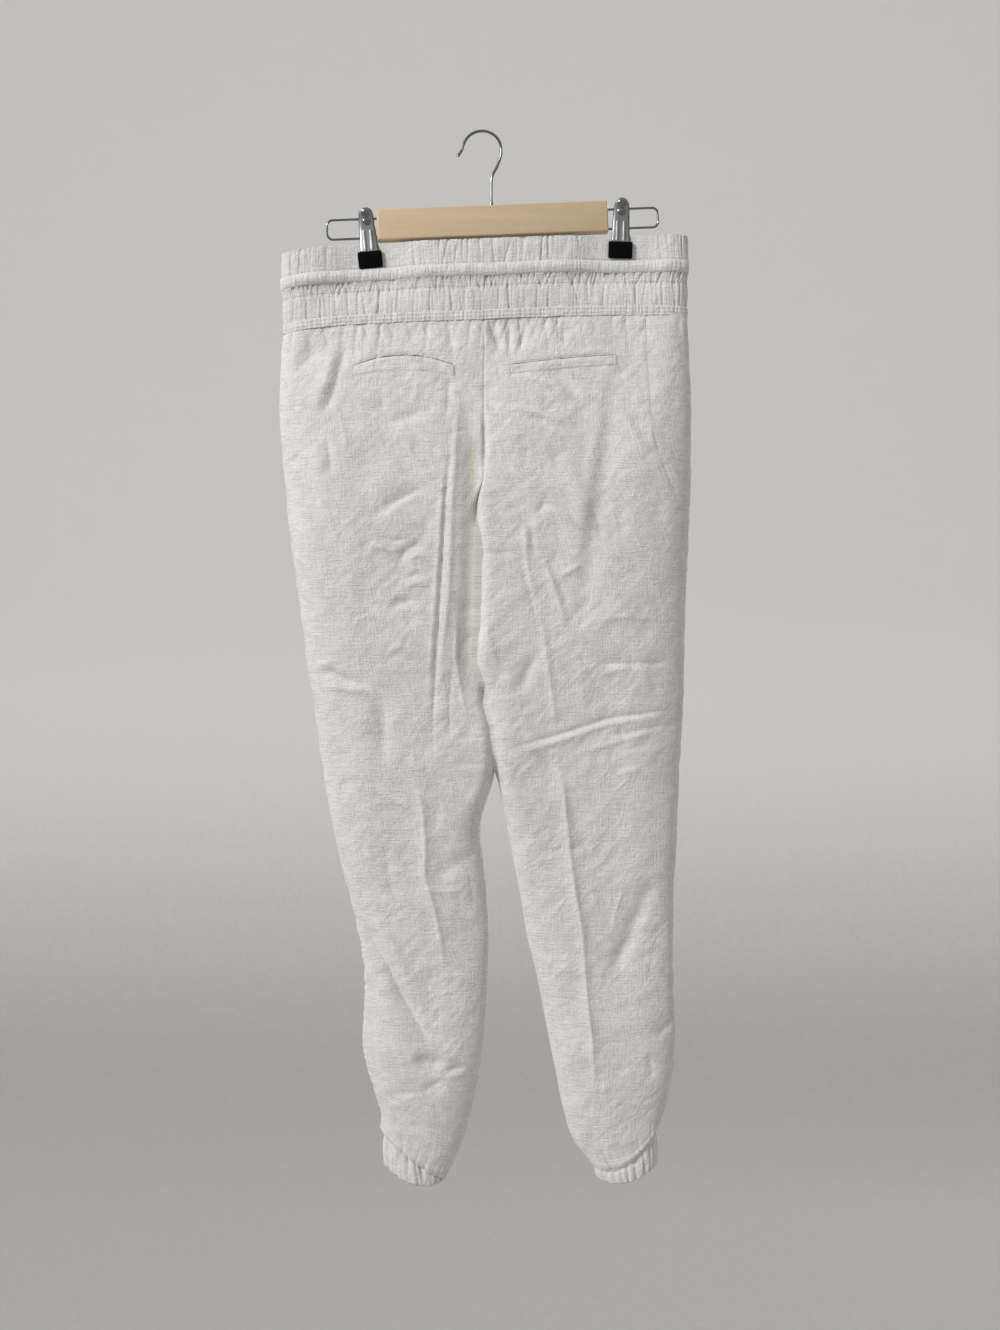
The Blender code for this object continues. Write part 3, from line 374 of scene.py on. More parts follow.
def ebb(x, length):
    """1 at x = 0, dying away over this length."""
    return np.exp(-x / length)


def quarter_round(q):
    """A quarter circle's height, 0 at q = 0 and 1 from q = 1 on."""
    return np.sqrt(np.clip(1 - (1 - np.minimum(q, 1)) ** 2, 0, 1))


def band_line(x, down):
    """Height of the line that lies so far down the waistband."""
    return -smooth_through(TOP_EDGE_X, TOP_EDGE_DROP, x) - down


def noise(x, y, seed):
    """Smooth noise from -1 to 1 with features about 1 across. It repeats past NOISE_CELLS."""
    turns = np.random.default_rng(seed).uniform(0, FULL_TURN, (NOISE_CELLS, NOISE_CELLS))
    x0, y0 = np.floor(x).astype(int), np.floor(y).astype(int)
    fx, fy = x - x0, y - y0
    sx, sy = fx**3 * (fx * (6 * fx - 15) + 10), fy**3 * (fy * (6 * fy - 15) + 10)

    def corner(dx, dy):
        turn = turns[(x0 + dx) % NOISE_CELLS, (y0 + dy) % NOISE_CELLS]
        return np.cos(turn) * (fx - dx) + np.sin(turn) * (fy - dy)

    low = corner(0, 0) + (corner(1, 0) - corner(0, 0)) * sx
    high = corner(0, 1) + (corner(1, 1) - corner(0, 1)) * sx
    return 1.5 * (low + (high - low) * sy)


def wave(x, row, seed):
    """The noise along one of its rows."""
    return noise(x, x * 0 + row, seed)


def short_creases(face):
    """Small random crumples: short bent lines all over a face."""
    pick = np.random.default_rng(SHORT_CREASE_SEEDS[face])
    made = []
    for _ in range(SHORT_CREASES):
        x, drop = pick.uniform(*SHORT_CREASE_X), pick.uniform(*SHORT_CREASE_DROPS)
        turn, bend = pick.uniform(0, math.pi), pick.uniform(-0.35, 0.35)
        length, width = pick.uniform(16, 62), pick.uniform(2.2, 7.5)
        lift = pick.choice((-1, -1, 1)) * pick.uniform(0.3, 1.2)
        path = [(x, drop)]
        for step in range(3):
            angle = turn + bend * (step - 1)
            path.append((path[-1][0] + length / 3 * math.cos(angle),
                         path[-1][1] + length / 3 * math.sin(angle)))
        made.append((path, width, lift, pick.uniform(1.0, 1.5)))
    return made


# How many half widths away a crease is still worked out
CREASE_REACH = 3.2
CREASES = {
    "back": [*BACK_CREASES, *short_creases("back")],
    "front": [*FRONT_CREASES, *short_creases("front")],
}


def crease_height(x, drop, creases):
    """How far the creases lift the cloth at each place. A crease tapers at both of its ends."""
    height = np.zeros(x.shape)
    for path, width, lift, pointed in creases:
        points = np.array(path, float)
        reach = CREASE_REACH * width
        near = np.nonzero(
            (x > points[:, 0].min() - reach) & (x < points[:, 0].max() + reach)
            & (drop > points[:, 1].min() - reach) & (drop < points[:, 1].max() + reach)
        )
        if not len(near[0]):
            continue
        px, pd = x[near], drop[near]
        nearest, along = np.full(px.shape, 1e9), np.zeros(px.shape)
        lengths = np.linalg.norm(np.diff(points, axis=0), axis=1)
        before = 0.0
        for (x0, d0), (x1, d1), length in zip(points, points[1:], lengths):
            run, fall = x1 - x0, d1 - d0
            t = np.clip(((px - x0) * run + (pd - d0) * fall) / length**2, 0, 1)
            away = np.hypot(px - x0 - t * run, pd - d0 - t * fall)
            closer = away < nearest
            nearest = np.where(closer, away, nearest)
            along = np.where(closer, before + t * length, along)
            before += length
        taper = min(0.4 * before, 14.0 + 0.2 * before)
        ends = fade(np.minimum(along, before - along), -1.0, taper)
        height[near] += lift * ends * hump(nearest, width, pointed)
    return height


def crumple(x, drop, seed, strength):
    """Broad waves, and crumples that lean one way or the other from place to place."""
    broad = 1.8 * noise(x / 78, drop / 105, seed) + 0.9 * noise(x / 37 + 5, drop / 52, seed + 1)
    lean = fade(noise(x / 60, drop / 60, seed + 2), -0.35, 0.35)
    rising, falling = (x + drop) / 1.414, (x - drop) / 1.414
    first = noise(rising / 11, falling / 34, seed + 4)
    first += 0.5 * noise(rising / 5, falling / 15, seed + 5)
    second = noise(rising / 30, falling / 12, seed + 6)
    second += 0.5 * noise(rising / 14, falling / 5.5, seed + 7)
    level = noise(x / 42, drop / 9, seed + 8)
    return strength * (broad + 0.5 * (first * lean + second * (1 - lean)) + 0.24 * level)


def gather_lines(seed, length, shortest, longest, depth, width, slant=1.5):
    """Grooves along an edge: place, half width, depth, slant, and strength at both ends."""
    pick = np.random.default_rng(seed)
    lines, at = [], pick.uniform(0, shortest)
    while at < length:
        both = pick.uniform(0.05, 1.1, 2)
        lines.append((at, width * pick.uniform(0.7, 1.4), depth * pick.uniform(0.5, 1.25),
                      pick.normal(0, slant), both[0], both[1]))
        at += pick.uniform(shortest, longest)
    return lines


def grooves(at, share, lines, length=None):
    """How far gathered grooves dip the cloth, share running from 0 to 1 along each groove."""
    height = np.zeros(np.broadcast(at, share).shape)
    for place, width, depth, slant, first, last in lines:
        away = at - place - slant * (share - 0.5)
        if length is not None:
            away = (away + length / 2) % length - length / 2
        strength = first + (last - first) * share
        height -= depth * strength * hump(away, width, 1.3)
    return height


# ---------------------------------------------------------------- the shape of the cloth


# What gather_lines takes. The waist's length is measured later, the legs' seeds are counted from
# the leg's own, and a hem or cuff is measured in radians
WAIST_GATHERS = {
    "upper": (71, 5.0, 20.0, 2.3, 0.78, 3.4),
    "lower": (72, 4.5, 18.0, 1.8, 0.74, 2.6),
    "strip": (73, 1.6, 3.9, 2.0, 0.64, 3.2),
    "roll": (74, 2.0, 5.5, 1.1, 0.7, 2.4),
    "fold": (75, 2.2, 6.0, 1.2, 0.7, 0.9),
    "fine": (76, 1.8, 6.0, 0.75, 0.6, 2.2),
}
LEG_GATHERS = {
    "back": (30, 225, 2.4, 7.5, 3.4, 1.4, 0.5),
    "front": (31, 225, 2.4, 7.5, 2.7, 1.4, 0.5),
    "hem": (32, FULL_TURN, 0.10, 0.32, 2.8, 0.06, 0.1),
}
CUFF_GATHERS = (
    (0, FULL_TURN, 0.15, 0.33, 2.7, 0.05, 0.12),
    (1, FULL_TURN, 0.09, 0.2, 1.0, 0.03, 0.06),
)
# Stretches of drops: where a leg's back edge runs on under the other leg, -1 being the left leg,
# and where the left leg's side seam is drawn up most
RUNS_UNDER = {-1: (380, 430, 585, 606), 1: (576, 597, 650, 695)}
ROPED_SEAM = (800, 850, 1040, 1080)
# From what depth on a crease is shaded, and how much deeper it is where the shade is full. Behind,
# the shade ends between two drops
SHADED_FROM = {"back": (2.4, 3.2), "front": (3, 8)}
SHADE_ENDS = (640, 700)


class Leg:
    """One leg with its half of the seat, as a ring of cloth. Turn 0 is the outer edge, positive
    turns run over the back to the inner edge at pi, and negative turns over the front."""

    def __init__(self, rows, side, seed):
        self.table = dict(zip(LEG_COLUMNS, np.array(rows, float).T))
        self.side, self.seed = side, seed
        self.top, self.hem = self.table["drop"][0], self.table["drop"][-1]
        self.gathers = {
            kind: gather_lines(seed + step, *sizes)
            for kind, (step, *sizes) in LEG_GATHERS.items()}

    def read(self, column, drop):
        return smooth_through(self.table["drop"], self.table[column], drop)

    def level(self, share, drop, x):
        """Height of the cloth at a share of the width from the outer edge."""
        height = -drop + self.read("rise", drop) * (1 - share)
        height = height - self.read("sag", drop) * 4 * share * (1 - share)
        slant = 1 - fade(drop, self.top, WAIST_SLANT_ENDS)
        return height + slant * (band_line(x, BAND_HEIGHT + 1.5 * SEAM_GAP) + self.top)

    def under(self, drop):
        """How far the back's inner edge runs on under the other leg instead of turning in."""
        return stretch(drop, *RUNS_UNDER[self.side])

    def relief(self, x, z, drop, turn, face):
        """How far creases, crumples and gathers lift the cloth."""
        strength = bpy.context.scene.linen_cloth.crumple_height / MM
        height = crease_height(x, -z, CREASES[face])
        height += crumple(x, -z, CRUMPLE_SEEDS[face], strength)
        below = np.maximum(drop - self.top, 0)
        from_side = np.abs(x - self.table["outer"][0])
        for part, (lean, length) in enumerate(WAIST_PLEATS):
            lines = self.gathers[face][part::len(WAIST_PLEATS)]
            height += grooves(from_side + lean * below, 0.5, lines) * ebb(below, length)
        up = np.maximum(self.hem - drop, 0)
        height += grooves(turn % FULL_TURN, 0.5, self.gathers["hem"], FULL_TURN) * ebb(up, 13)
        return height * (0.3 + 0.7 * fade(drop, self.top - 1, self.top + 6))

    def hollow(self, turn, drop):
        """How much painted shade each point gets for lying down in a crease, from 0 to 1."""
        points = self.point(turn, drop)
        back = np.broadcast_to(turn, drop.shape) > 0
        x, level = points[..., 0], -points[..., 2]
        deep = {
            face: (-crease_height(x, level, CREASES[face]) - start) / more
            for face, (start, more) in SHADED_FROM.items()}
        deep["back"] *= 1 - fade(level, *SHADE_ENDS)
        return np.clip(np.where(back, deep["back"], deep["front"]), 0, 1)

    def seam_pucker(self, drop):
        """Small waves where a side seam draws the cloth up."""
        rope = stretch(drop, *ROPED_SEAM) * (self.side < 0)
        waves = np.sin(drop / 1.5 + 5.0 * wave(drop / 21, 0.5, self.seed + 20))
        uneven = 0.55 + 0.9 * wave(drop / 17, 7.5, self.seed + 22)
        broad = 0.8 * wave(drop / 14, 3.5, self.seed + 21)
        return (0.15 + 0.5 * rope) * waves * uneven + broad

    def point(self, turn, drop):
        turn, drop = np.broadcast_arrays(np.asarray(turn, float), np.asarray(drop, float))
        outer, inner = self.read("outer", drop), self.read("inner", drop)
        share = (1 - np.cos(np.abs(turn))) / 2
        width = np.abs(inner - outer)
        x = outer + (inner - outer) * share
        z = self.level(share, drop, x)
        back = turn > 0
        depth = np.where(back, self.read("back", drop), self.read("front", drop))
        closed = np.clip(self.read("closed", drop), 0, 1)
        round_outer = np.minimum(WIDEST_ROUNDING * width, LEG_ROUNDING * depth)
        tight = INNER_ROUNDING + (LEG_ROUNDING - INNER_ROUNDING) * fade(drop, *INNER_WIDENS)
        round_inner = np.minimum(
            WIDEST_ROUNDING * width, np.maximum(tight * depth * closed, 0.1)
        )
        swell = quarter_round(share * width / round_outer)
        behind = self.under(drop) * back
        turned_in = closed * (1 - behind)
        swell = swell * (1 - turned_in * (1 - quarter_round((1 - share) * width / round_inner)))
        swell = swell * (1 - 0.3 * behind * (self.side > 0) * ebb((1 - share) * width, 8))
        relief = np.where(
            back,
            self.relief(x, z, drop, turn, "back"),
            self.relief(x, z, drop, turn, "front"),
        )
        to_middle = np.abs(x - inner)
        seam = (0.55 * hump(to_middle, 1.3) + 0.5 * ebb(to_middle, 6)) * (1 - closed)
        tucked = WAIST_TUCK * (1 - fade(drop, self.top - 1, self.top + 4))
        tucked = tucked + HEM_TUCK * fade(drop, self.hem - 6, self.hem)
        overhang = 1.3 * hump(self.hem - 4.5 - drop, 3.2)
        y = depth * swell + swell * (relief + overhang) - seam - tucked * swell
        edge = ebb(share * width, 6)
        x = x + self.side * (self.seam_pucker(drop) * edge - tucked * edge)
        return np.stack([x, np.where(back, -y, y), z], -1)

    def normal(self, turn, drop):
        """Points out of the cloth."""
        across = self.point(turn + 0.01, drop) - self.point(turn - 0.01, drop)
        down = self.point(turn, drop + 1) - self.point(turn, drop - 1)
        facing = np.cross(across, down) * self.side
        return facing / np.linalg.norm(facing, axis=-1)[..., None]

    def place(self, x, drop, back=True):
        """The turn and the table's drop at a place seen from behind or in front."""
        x, seen = np.asarray(x, float), np.asarray(drop, float)
        table_drop = seen.copy()
        for _ in range(8):
            outer, inner = self.read("outer", table_drop), self.read("inner", table_drop)
            share = np.clip((x - outer) / (inner - outer), 0.001, 0.999)
            table_drop = table_drop + self.level(share, table_drop, x) + seen
        turn = np.arccos(1 - 2 * share)
        return (turn if back else -turn), table_drop

    def on_cloth(self, x, drop, lift, back=True):
        """Points on the cloth seen from behind or in front, lifted off it."""
        turn, table_drop = self.place(x, drop, back)
        lift = np.asarray(lift, float)[..., None]
        return self.point(turn, table_drop) + lift * self.normal(turn, table_drop)

    def seam_turn(self, drop):
        return np.arccos(1 - 2 * np.clip(self.read("seam", drop), 0, 1))


def clamped(x):
    """1 under a clip's pad and 0 away from the clips."""
    away = [np.abs(x - pad_centre(clip)[0]) for clip in CLIPS]
    return 1 - fade(np.minimum(*away), 17, 62)


def pad_centre(clip):
    _, (x, z), lean = clip
    middle = PAD_TOP + PAD_HEIGHT / 2
    return x + math.sin(lean) * middle, z - math.cos(lean) * middle


class Waist:
    """The waistband's closed ring. Turn 0 is its left end, and turns up to pi run over the back."""

    def __init__(self):
        turns = np.linspace(0, FULL_TURN, 6001)
        points = self.plan(turns, np.full(turns.shape, STRIP_TOP))
        steps = np.hypot(np.diff(points[:, 0]), np.diff(points[:, 1]))
        self.turns, self.way = turns, np.concatenate([[0], np.cumsum(steps)])
        self.length = self.way[-1]
        self.lines = {
            kind: gather_lines(seed, self.length, *sizes)
            for kind, (seed, *sizes) in WAIST_GATHERS.items()}

    def gathers(self, kind, along, share):
        return grooves(along, share, self.lines[kind], self.length)

    def around(self, spacing):
        """A row of places all along the ring, about this many metres apart."""
        count = round(self.length * MM / spacing)
        return np.linspace(0, self.length, count, endpoint=False)[None, :]

    def plan(self, turn, down):
        low = fade(down, 0, BAND_HEIGHT)
        left = WAIST_LEFT + (PANEL_LEFT - WAIST_LEFT) * low
        right = WAIST_RIGHT + (PANEL_RIGHT - WAIST_RIGHT) * low
        share = (1 - np.cos(turn)) / 2
        x = left + (right - left) * share
        free = WAIST_TOP_HALF_DEPTH + (WAIST_HALF_DEPTH - WAIST_TOP_HALF_DEPTH) * low
        grip = clamped(x) * (1 - fade(down, 30, 80))
        depth = free + (CLAMPED_HALF_DEPTH - free) * grip
        reach = EDGE_ROUNDING * free
        ends = quarter_round((x - left) / reach) * quarter_round((right - x) / reach)
        return np.stack([x, -depth * ends * np.where(np.sin(turn) >= 0, 1, -1)], -1)

    def turn_at(self, along):
        return np.interp(along % self.length, self.way, self.turns)

    def point(self, along, down, offset):
        """A point so far along the ring and down the band, moved out by an offset."""
        along, down = np.broadcast_arrays(np.asarray(along, float), np.asarray(down, float))
        turn = self.turn_at(along)
        flat = self.plan(turn, down)
        step = self.plan(turn + 0.004, down) - self.plan(turn - 0.004, down)
        step = step / np.linalg.norm(step, axis=-1)[..., None]
        x = flat[..., 0] + step[..., 1] * offset
        y = flat[..., 1] - step[..., 0] * offset
        return np.stack([x, y, band_line(flat[..., 0], down)], -1)

    def from_side(self, along):
        """How far along the ring the nearer of its two ends lies."""
        half = self.length / 2
        return np.abs((along + half / 2) % half - half / 2)

    def grooved(self, along, down):
        """How far the gathers dip the casings and the strip."""
        share_up, share_low = casing_shares(down)
        near_up = ebb(down, 3.0) + ebb(np.abs(UPPER_CASING - down), 4.0)
        near_low = ebb(np.abs(down - LOWER_TOP), 3.0) + ebb(np.abs(CASING_HEIGHT - down), 3.5)
        height = np.where(
            down < UPPER_CASING + 0.5,
            self.gathers("upper", along, share_up)
            + self.gathers("fine", along, share_up)
            + near_up * self.gathers("fold", along, share_up), 0)
        lower = fade(down, LOWER_TOP - 2, LOWER_TOP + 2)
        height = height + lower * (
            self.gathers("lower", along, share_low)
            + self.gathers("fine", along + 5, share_low)
            + near_low * self.gathers("fold", along + 3, share_low))
        shirred = (down > STRIP_TOP - 3) * (1 - fade(down, LOWER_TOP - 1, LOWER_TOP + 6))
        return height + shirred * self.gathers("strip", along, (down - STRIP_TOP) / SHIRRED_STRIP)

    def casing(self, along, down):
        """How far the puffed casings stand out of the ring."""
        free = 1 - clamped(self.plan(self.turn_at(along), down)[..., 0]) * (down < 32)
        share_up, share_low = casing_shares(down)
        crown = np.where(down < UPPER_CASING + 0.5, np.sin(math.pi * share_up), 0)
        crown = crown + np.sin(math.pi * share_low)
        puff = 0.55 * crown + 0.6 * noise(along / 31, down / 40, 76)
        puff = puff + 0.4 * noise(along / 9, down / 20, 77)
        to_roll = np.minimum(np.abs(down - UPPER_CASING), np.abs(down - STRIP_TOP))
        puff = puff + 1.5 * ebb(to_roll, 3.0)
        uneven = 0.35 + 0.5 * wave(along / 12, 0.5, 79)
        puff = puff - uneven * hump(down - LOWER_TOP, 1.2)
        return free * (puff + self.grooved(along, down)) - 0.3


def casing_shares(down):
    """How far down the upper and the lower casing a place lies, from 0 to 1."""
    lower = (down - LOWER_TOP) / LOWER_CASING
    return np.clip(down / UPPER_CASING, 0, 1), np.clip(lower, 0, 1)


def along_at(waist, x, back=True):
    """How far along the ring an x lies."""
    share = (x - WAIST_LEFT) / (WAIST_RIGHT - WAIST_LEFT)
    turn = math.acos(1 - 2 * min(max(share, 0), 1))
    return np.interp(turn if back else FULL_TURN - turn, waist.turns, waist.way)


def legs():
    return {"left": Leg(LEFT_LEG, -1, 11), "right": Leg(RIGHT_LEG, 1, 51)}


# ---------------------------------------------------------------- meshes


def new_object(name, mesh):
    obj = bpy.data.objects.new(name, mesh)
    bpy.context.scene.collection.objects.link(obj)
    return obj


def grid_quads(points, uv, ring=False, closed=False):
    """Quads over a grid of points, their cloth coordinates, and each quad's row. A ring joins its
    last column to its first, and a closed grid its last row to its first. uv has a row and a
    column more for these."""
    rows, columns = points.shape[:2]
    r, c = np.meshgrid(
        np.arange(rows if closed else rows - 1), np.arange(columns if ring else columns - 1),
        indexing="ij")
    first, second, after = r * columns, (r + 1) % rows * columns, (c + 1) % columns
    quads = np.stack([first + c, first + after, second + after, second + c], -1)
    places = np.stack([uv[r, c], uv[r, c + 1], uv[r + 1, c + 1], uv[r + 1, c]], -2)
    return quads.reshape(-1, 4), places.reshape(-1, 4, 2), r.reshape(-1)


def cloth_mesh(name, points, quads, places):
    """A mesh of linen with its cloth coordinates in metres."""
    mesh = bpy.data.meshes.new(name)
    mesh.from_pydata((points.reshape(-1, 3) * MM).tolist(), [], quads.tolist())
    layer = mesh.uv_layers.new(name=CLOTH_UV)
    layer.data.foreach_set("uv", (places.reshape(-1) * MM).astype(np.float32))
    mesh.shade_smooth()
    mesh.materials.append(linen())
    return mesh


def cloth_grid(name, points, uv, ring=False, thickness=0.0, hollow=None):
    """A sheet of cloth with its faces outwards. The last argument is how much painted shade each
    point gets for lying down in a crease, from 0 to 1."""
    quads, places, row = grid_quads(points, uv, ring)
    flat = points.reshape(-1, 3)
    a, b, d = flat[quads[:, 0]], flat[quads[:, 1]], flat[quads[:, 3]]
    away = flat[quads].mean(axis=1) * (1, 1, 0)
    away[:, 0] -= points[..., 0].mean(axis=1)[row]
    if (np.cross(b - a, d - a) * away).sum() < 0:
        quads, places = quads[:, ::-1], places[:, ::-1]
    mesh = cloth_mesh(name, points, quads, places)
    if hollow is not None:
        depth = mesh.attributes.new(CREASE_SHADE, "FLOAT", "POINT")
        depth.data.foreach_set("value", np.ascontiguousarray(hollow, np.float32).reshape(-1))
    obj = new_object(name, mesh)
    return thickened(obj, thickness) if thickness else obj


def thickened(obj, thickness):
    """Gives a sheet this thickness, behind its face."""
    wall = obj.modifiers.new("wall", "SOLIDIFY")
    wall.thickness, wall.offset = thickness * MM, -1
    return apply_modifiers(obj)


def apply_modifiers(obj):
    """Makes the evaluated mesh the object's own and removes its modifiers."""
    graph = bpy.context.evaluated_depsgraph_get()
    mesh = bpy.data.meshes.new_from_object(obj.evaluated_get(graph))
    obj.modifiers.clear()
    obj.data = mesh
    mesh.name = obj.name
    return obj


def arc_lengths(points):
    """Distances along each row, with a column for the first point."""
    steps = np.linalg.norm(np.diff(points, axis=1), axis=-1)
    return np.concatenate([np.zeros((len(points), 1)), np.cumsum(steps, axis=1)], axis=1)


def ring_uv(points, downs):
    around = arc_lengths(np.concatenate([points, points[:, :1]], axis=1))
    around = np.broadcast_to(around.mean(axis=0), around.shape)
    return np.stack([around, np.broadcast_to(downs[:, None], around.shape)], -1)


def finished(obj, *nodes, slot="linen"):
    """Puts a piece on the root body and hides the solids it stands for. Its slot is not used."""
    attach(obj, "root")
    if nodes:
        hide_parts(*nodes)
    return obj


# ---------------------------------------------------------------- shader maths


class Socket:
    """A shader socket that takes part in sums."""

    def __init__(self, graph, socket):
        self.graph, self.socket = graph, socket

    def maths(self, operation, first, second=0.0):
        return self.graph.node("ShaderNodeMath", {"operation": operation}, {0: first, 1: second})

    def __add__(self, other):
        return self.maths("ADD", self, other)

    def __sub__(self, other):
        return self.maths("SUBTRACT", self, other)

    def __rsub__(self, other):
        return self.maths("SUBTRACT", other, self)

    def __mul__(self, other):
        return self.maths("MULTIPLY", self, other)

    def __pow__(self, other):
        return self.maths("POWER", self, other)

    __radd__, __rmul__ = __add__, __mul__

    def sine(self):
        return self.maths("SINE", self)

    def size(self):
        return self.maths("ABSOLUTE", self)


class Graph:
    """The shader nodes of a material or of the world."""

    def __init__(self, owner, shader="Principled BSDF"):
        owner.use_nodes = True
        self.owner, self.tree = owner, owner.node_tree
        self.shader = self.tree.nodes[shader]

    def put(self, node, key, value):
        if isinstance(value, Socket):
            self.tree.links.new(value.socket, node.inputs[key])
        else:
            node.inputs[key].default_value = value

    def node(self, kind, settings=None, inputs=None, output=0):
        """A new node of this type, with its settings and then its sockets' values or links."""
        made = self.tree.nodes.new(kind)
        for key, value in (settings or {}).items():
            if key == "stops":
                ramp = made.color_ramp.elements
                while len(ramp) < len(value):
                    ramp.new(1.0)
                for stop, (position, colour) in zip(ramp, value):
                    stop.position, stop.color = position, colour
            else:
                setattr(made, key, value)
        for key, value in (inputs or {}).items():
            self.put(made, key, value)
        return Socket(self, made.outputs[output])

    def mix(self, factor, first, second):
        colours = {0: factor, 6: first, 7: second}
        return self.node("ShaderNodeMix", {"data_type": "RGBA"}, colours, 2)

    def place(self):
        """The object's own coordinates."""
        return self.node("ShaderNodeTexCoord", {}, {}, "Object")

    def vector(self, x, y, z=0.0):
        return self.node("ShaderNodeCombineXYZ", {}, {0: x, 1: y, 2: z})

    def noise(self, place, scale, detail=2.0, roughness=0.5):
        return self.node("ShaderNodeTexNoise", {}, {
            "Vector": place, "Scale": scale, "Detail": detail, "Roughness": roughness})

    def streaks(self, x, y, detail, roughness=0.5):
        """Noise with its own scale each way."""
        return self.noise(self.vector(x, y), 1.0, detail, roughness)

    def bump(self, height, distance, strength=1.0):
        return self.node("ShaderNodeBump", {}, {
            "Height": height, "Distance": distance, "Strength": strength})

    def finish(self, **sockets):
        for name, value in sockets.items():
            self.put(self.shader, name.replace("_", " "), value)
        return self.owner


def colour(values, scale=1.0):
    return (*(value * scale for value in values), 1.0)


def made_once(kept, name):
    """For a function that makes a material or a node tree: calls it the first time, and finds
    what it made by name from then on."""
    def wrap(make):
        return lambda: getattr(bpy.data, kept).get(name) or make(name)
    return wrap


# How far the yarns sway and how high each layer of the linen's relief is, in metres
YARN_SWAY, YARN_RELIEF, SLUB_RELIEF, GRAIN_RELIEF = 0.0016, 0.00006, 0.0019, 0.0024
CRUMPLE_RELIEF, RIPPLE_RELIEF, PRESSED_RELIEF, FACET_RELIEF = 0.0028, 0.0016, 0.0095, 0.0075


@made_once("materials", "White linen")
def linen(name):
    """White plain-weave linen: uneven yarns with slubs each way, small crumples and a soft nap,
    with painted shade that darkens the colour at the bottom of deep creases.
    """
    cloth = bpy.context.scene.linen_cloth
    graph = Graph(bpy.data.materials.new(name))
    uv = graph.node("ShaderNodeUVMap", {"uv_map": CLOTH_UV})
    across = graph.node("ShaderNodeSeparateXYZ", {}, {0: uv}, 0)
    down = graph.node("ShaderNodeSeparateXYZ", {}, {0: uv}, 1)
    sway = (graph.noise(uv, 90.0) - 0.5) * YARN_SWAY
    turns = FULL_TURN / cloth.yarn_pitch
    warp = ((across + sway) * turns).sine()
    weft = ((down + sway) * turns * 0.93).sine()
    weave = warp * weft
    weft_slub = graph.streaks(across * 52.0, down * 620.0, 3.0, 0.6)
    warp_slub = graph.streaks(across * 620.0, down * 40.0, 3.0, 0.6)
    slubs = (weft_slub * 1.2 + warp_slub) - 1.1
    crumples = graph.noise(uv, 52.0, 6.0, 0.62)
    rising, falling = across + down, across - down
    lean = graph.node("ShaderNodeMapRange", {}, {0: graph.noise(uv, 15.0), 1: 0.4, 2: 0.6})
    ripples = graph.streaks(rising * 66.0, falling * 200.0, 3.0, 0.6) * lean
    ripples = ripples + graph.streaks(rising * 190.0, falling * 70.0, 3.0, 0.6) * (1.0 - lean)
    grain = graph.noise(uv, 620.0, 3.0, 0.7) - 0.5
    first = (graph.streaks(rising * 13.0, falling * 34.0, 2.0, 0.55) - 0.5).size()
    second = (graph.streaks(rising * 31.0, falling * 14.0, 2.0, 0.55) - 0.5).size()
    pressed = first * lean + second * (1.0 - lean)
    facets = (graph.streaks(rising * 6.0, falling * 16.0, 1.0) - 0.5).size()
    facets = facets + (graph.streaks(rising * 15.0, falling * 7.0, 1.0) - 0.5).size()
    mottle = graph.noise(uv, 34.0, 5.0, 0.66) - 0.5
    clouds = graph.noise(uv, 9.0, 2.0) - 0.5
    hollow = graph.node("ShaderNodeAttribute", {"attribute_name": CREASE_SHADE}, {}, "Fac")
    height = weave * YARN_RELIEF + slubs * SLUB_RELIEF + crumples * CRUMPLE_RELIEF
    height = height + ripples * RIPPLE_RELIEF + grain * GRAIN_RELIEF
    height = height - pressed * PRESSED_RELIEF - facets * FACET_RELIEF
    shade = slubs * 1.6 + grain * 2.2 + mottle * 1.1 + clouds * 0.5 + weave * 0.05 + 0.55
    tint = graph.mix(shade, colour(cloth.shadow_colour), colour(cloth.colour))
    # Painted shade: the cloth's colour goes darker where the attribute marks a deep crease
    tint = graph.mix(hollow, tint, colour(cloth.crease_shade_colour))
    return graph.finish(
        Base_Color=tint,
        Roughness=0.84 + slubs * 0.12,
        Normal=graph.bump(height, 1.0, cloth.bump_strength),
        Sheen_Weight=0.12, Sheen_Roughness=0.45, Specular_IOR_Level=0.25,
    )


@made_once("materials", "White thread")
def thread(name):
    """White sewing thread with its twist."""
    graph = Graph(bpy.data.materials.new(name))
    twist = graph.noise(graph.place(), 2600.0, 1.0)
    tint = graph.mix(twist, (0.70, 0.69, 0.66, 1), (0.86, 0.85, 0.83, 1))
    return graph.finish(Base_Color=tint, Roughness=0.6 + twist * 0.1,
                        Normal=graph.bump(twist, 0.0002), Sheen_Weight=0.2)


@made_once("materials", "Pocket mouth")
def mouth_shade(name):
    """Painted shade: a dark colour for the thin strip laid along a welt's slit, where the pocket
    opening lies in shade.
    """
    graph = Graph(bpy.data.materials.new(name))
    uneven_shade = graph.noise(graph.place(), 420.0, 2.0)
    tint = graph.mix(uneven_shade, (0.10, 0.085, 0.065, 1), (0.24, 0.215, 0.18, 1))
    return graph.finish(Base_Color=tint, Roughness=0.9, Specular_IOR_Level=0.1)


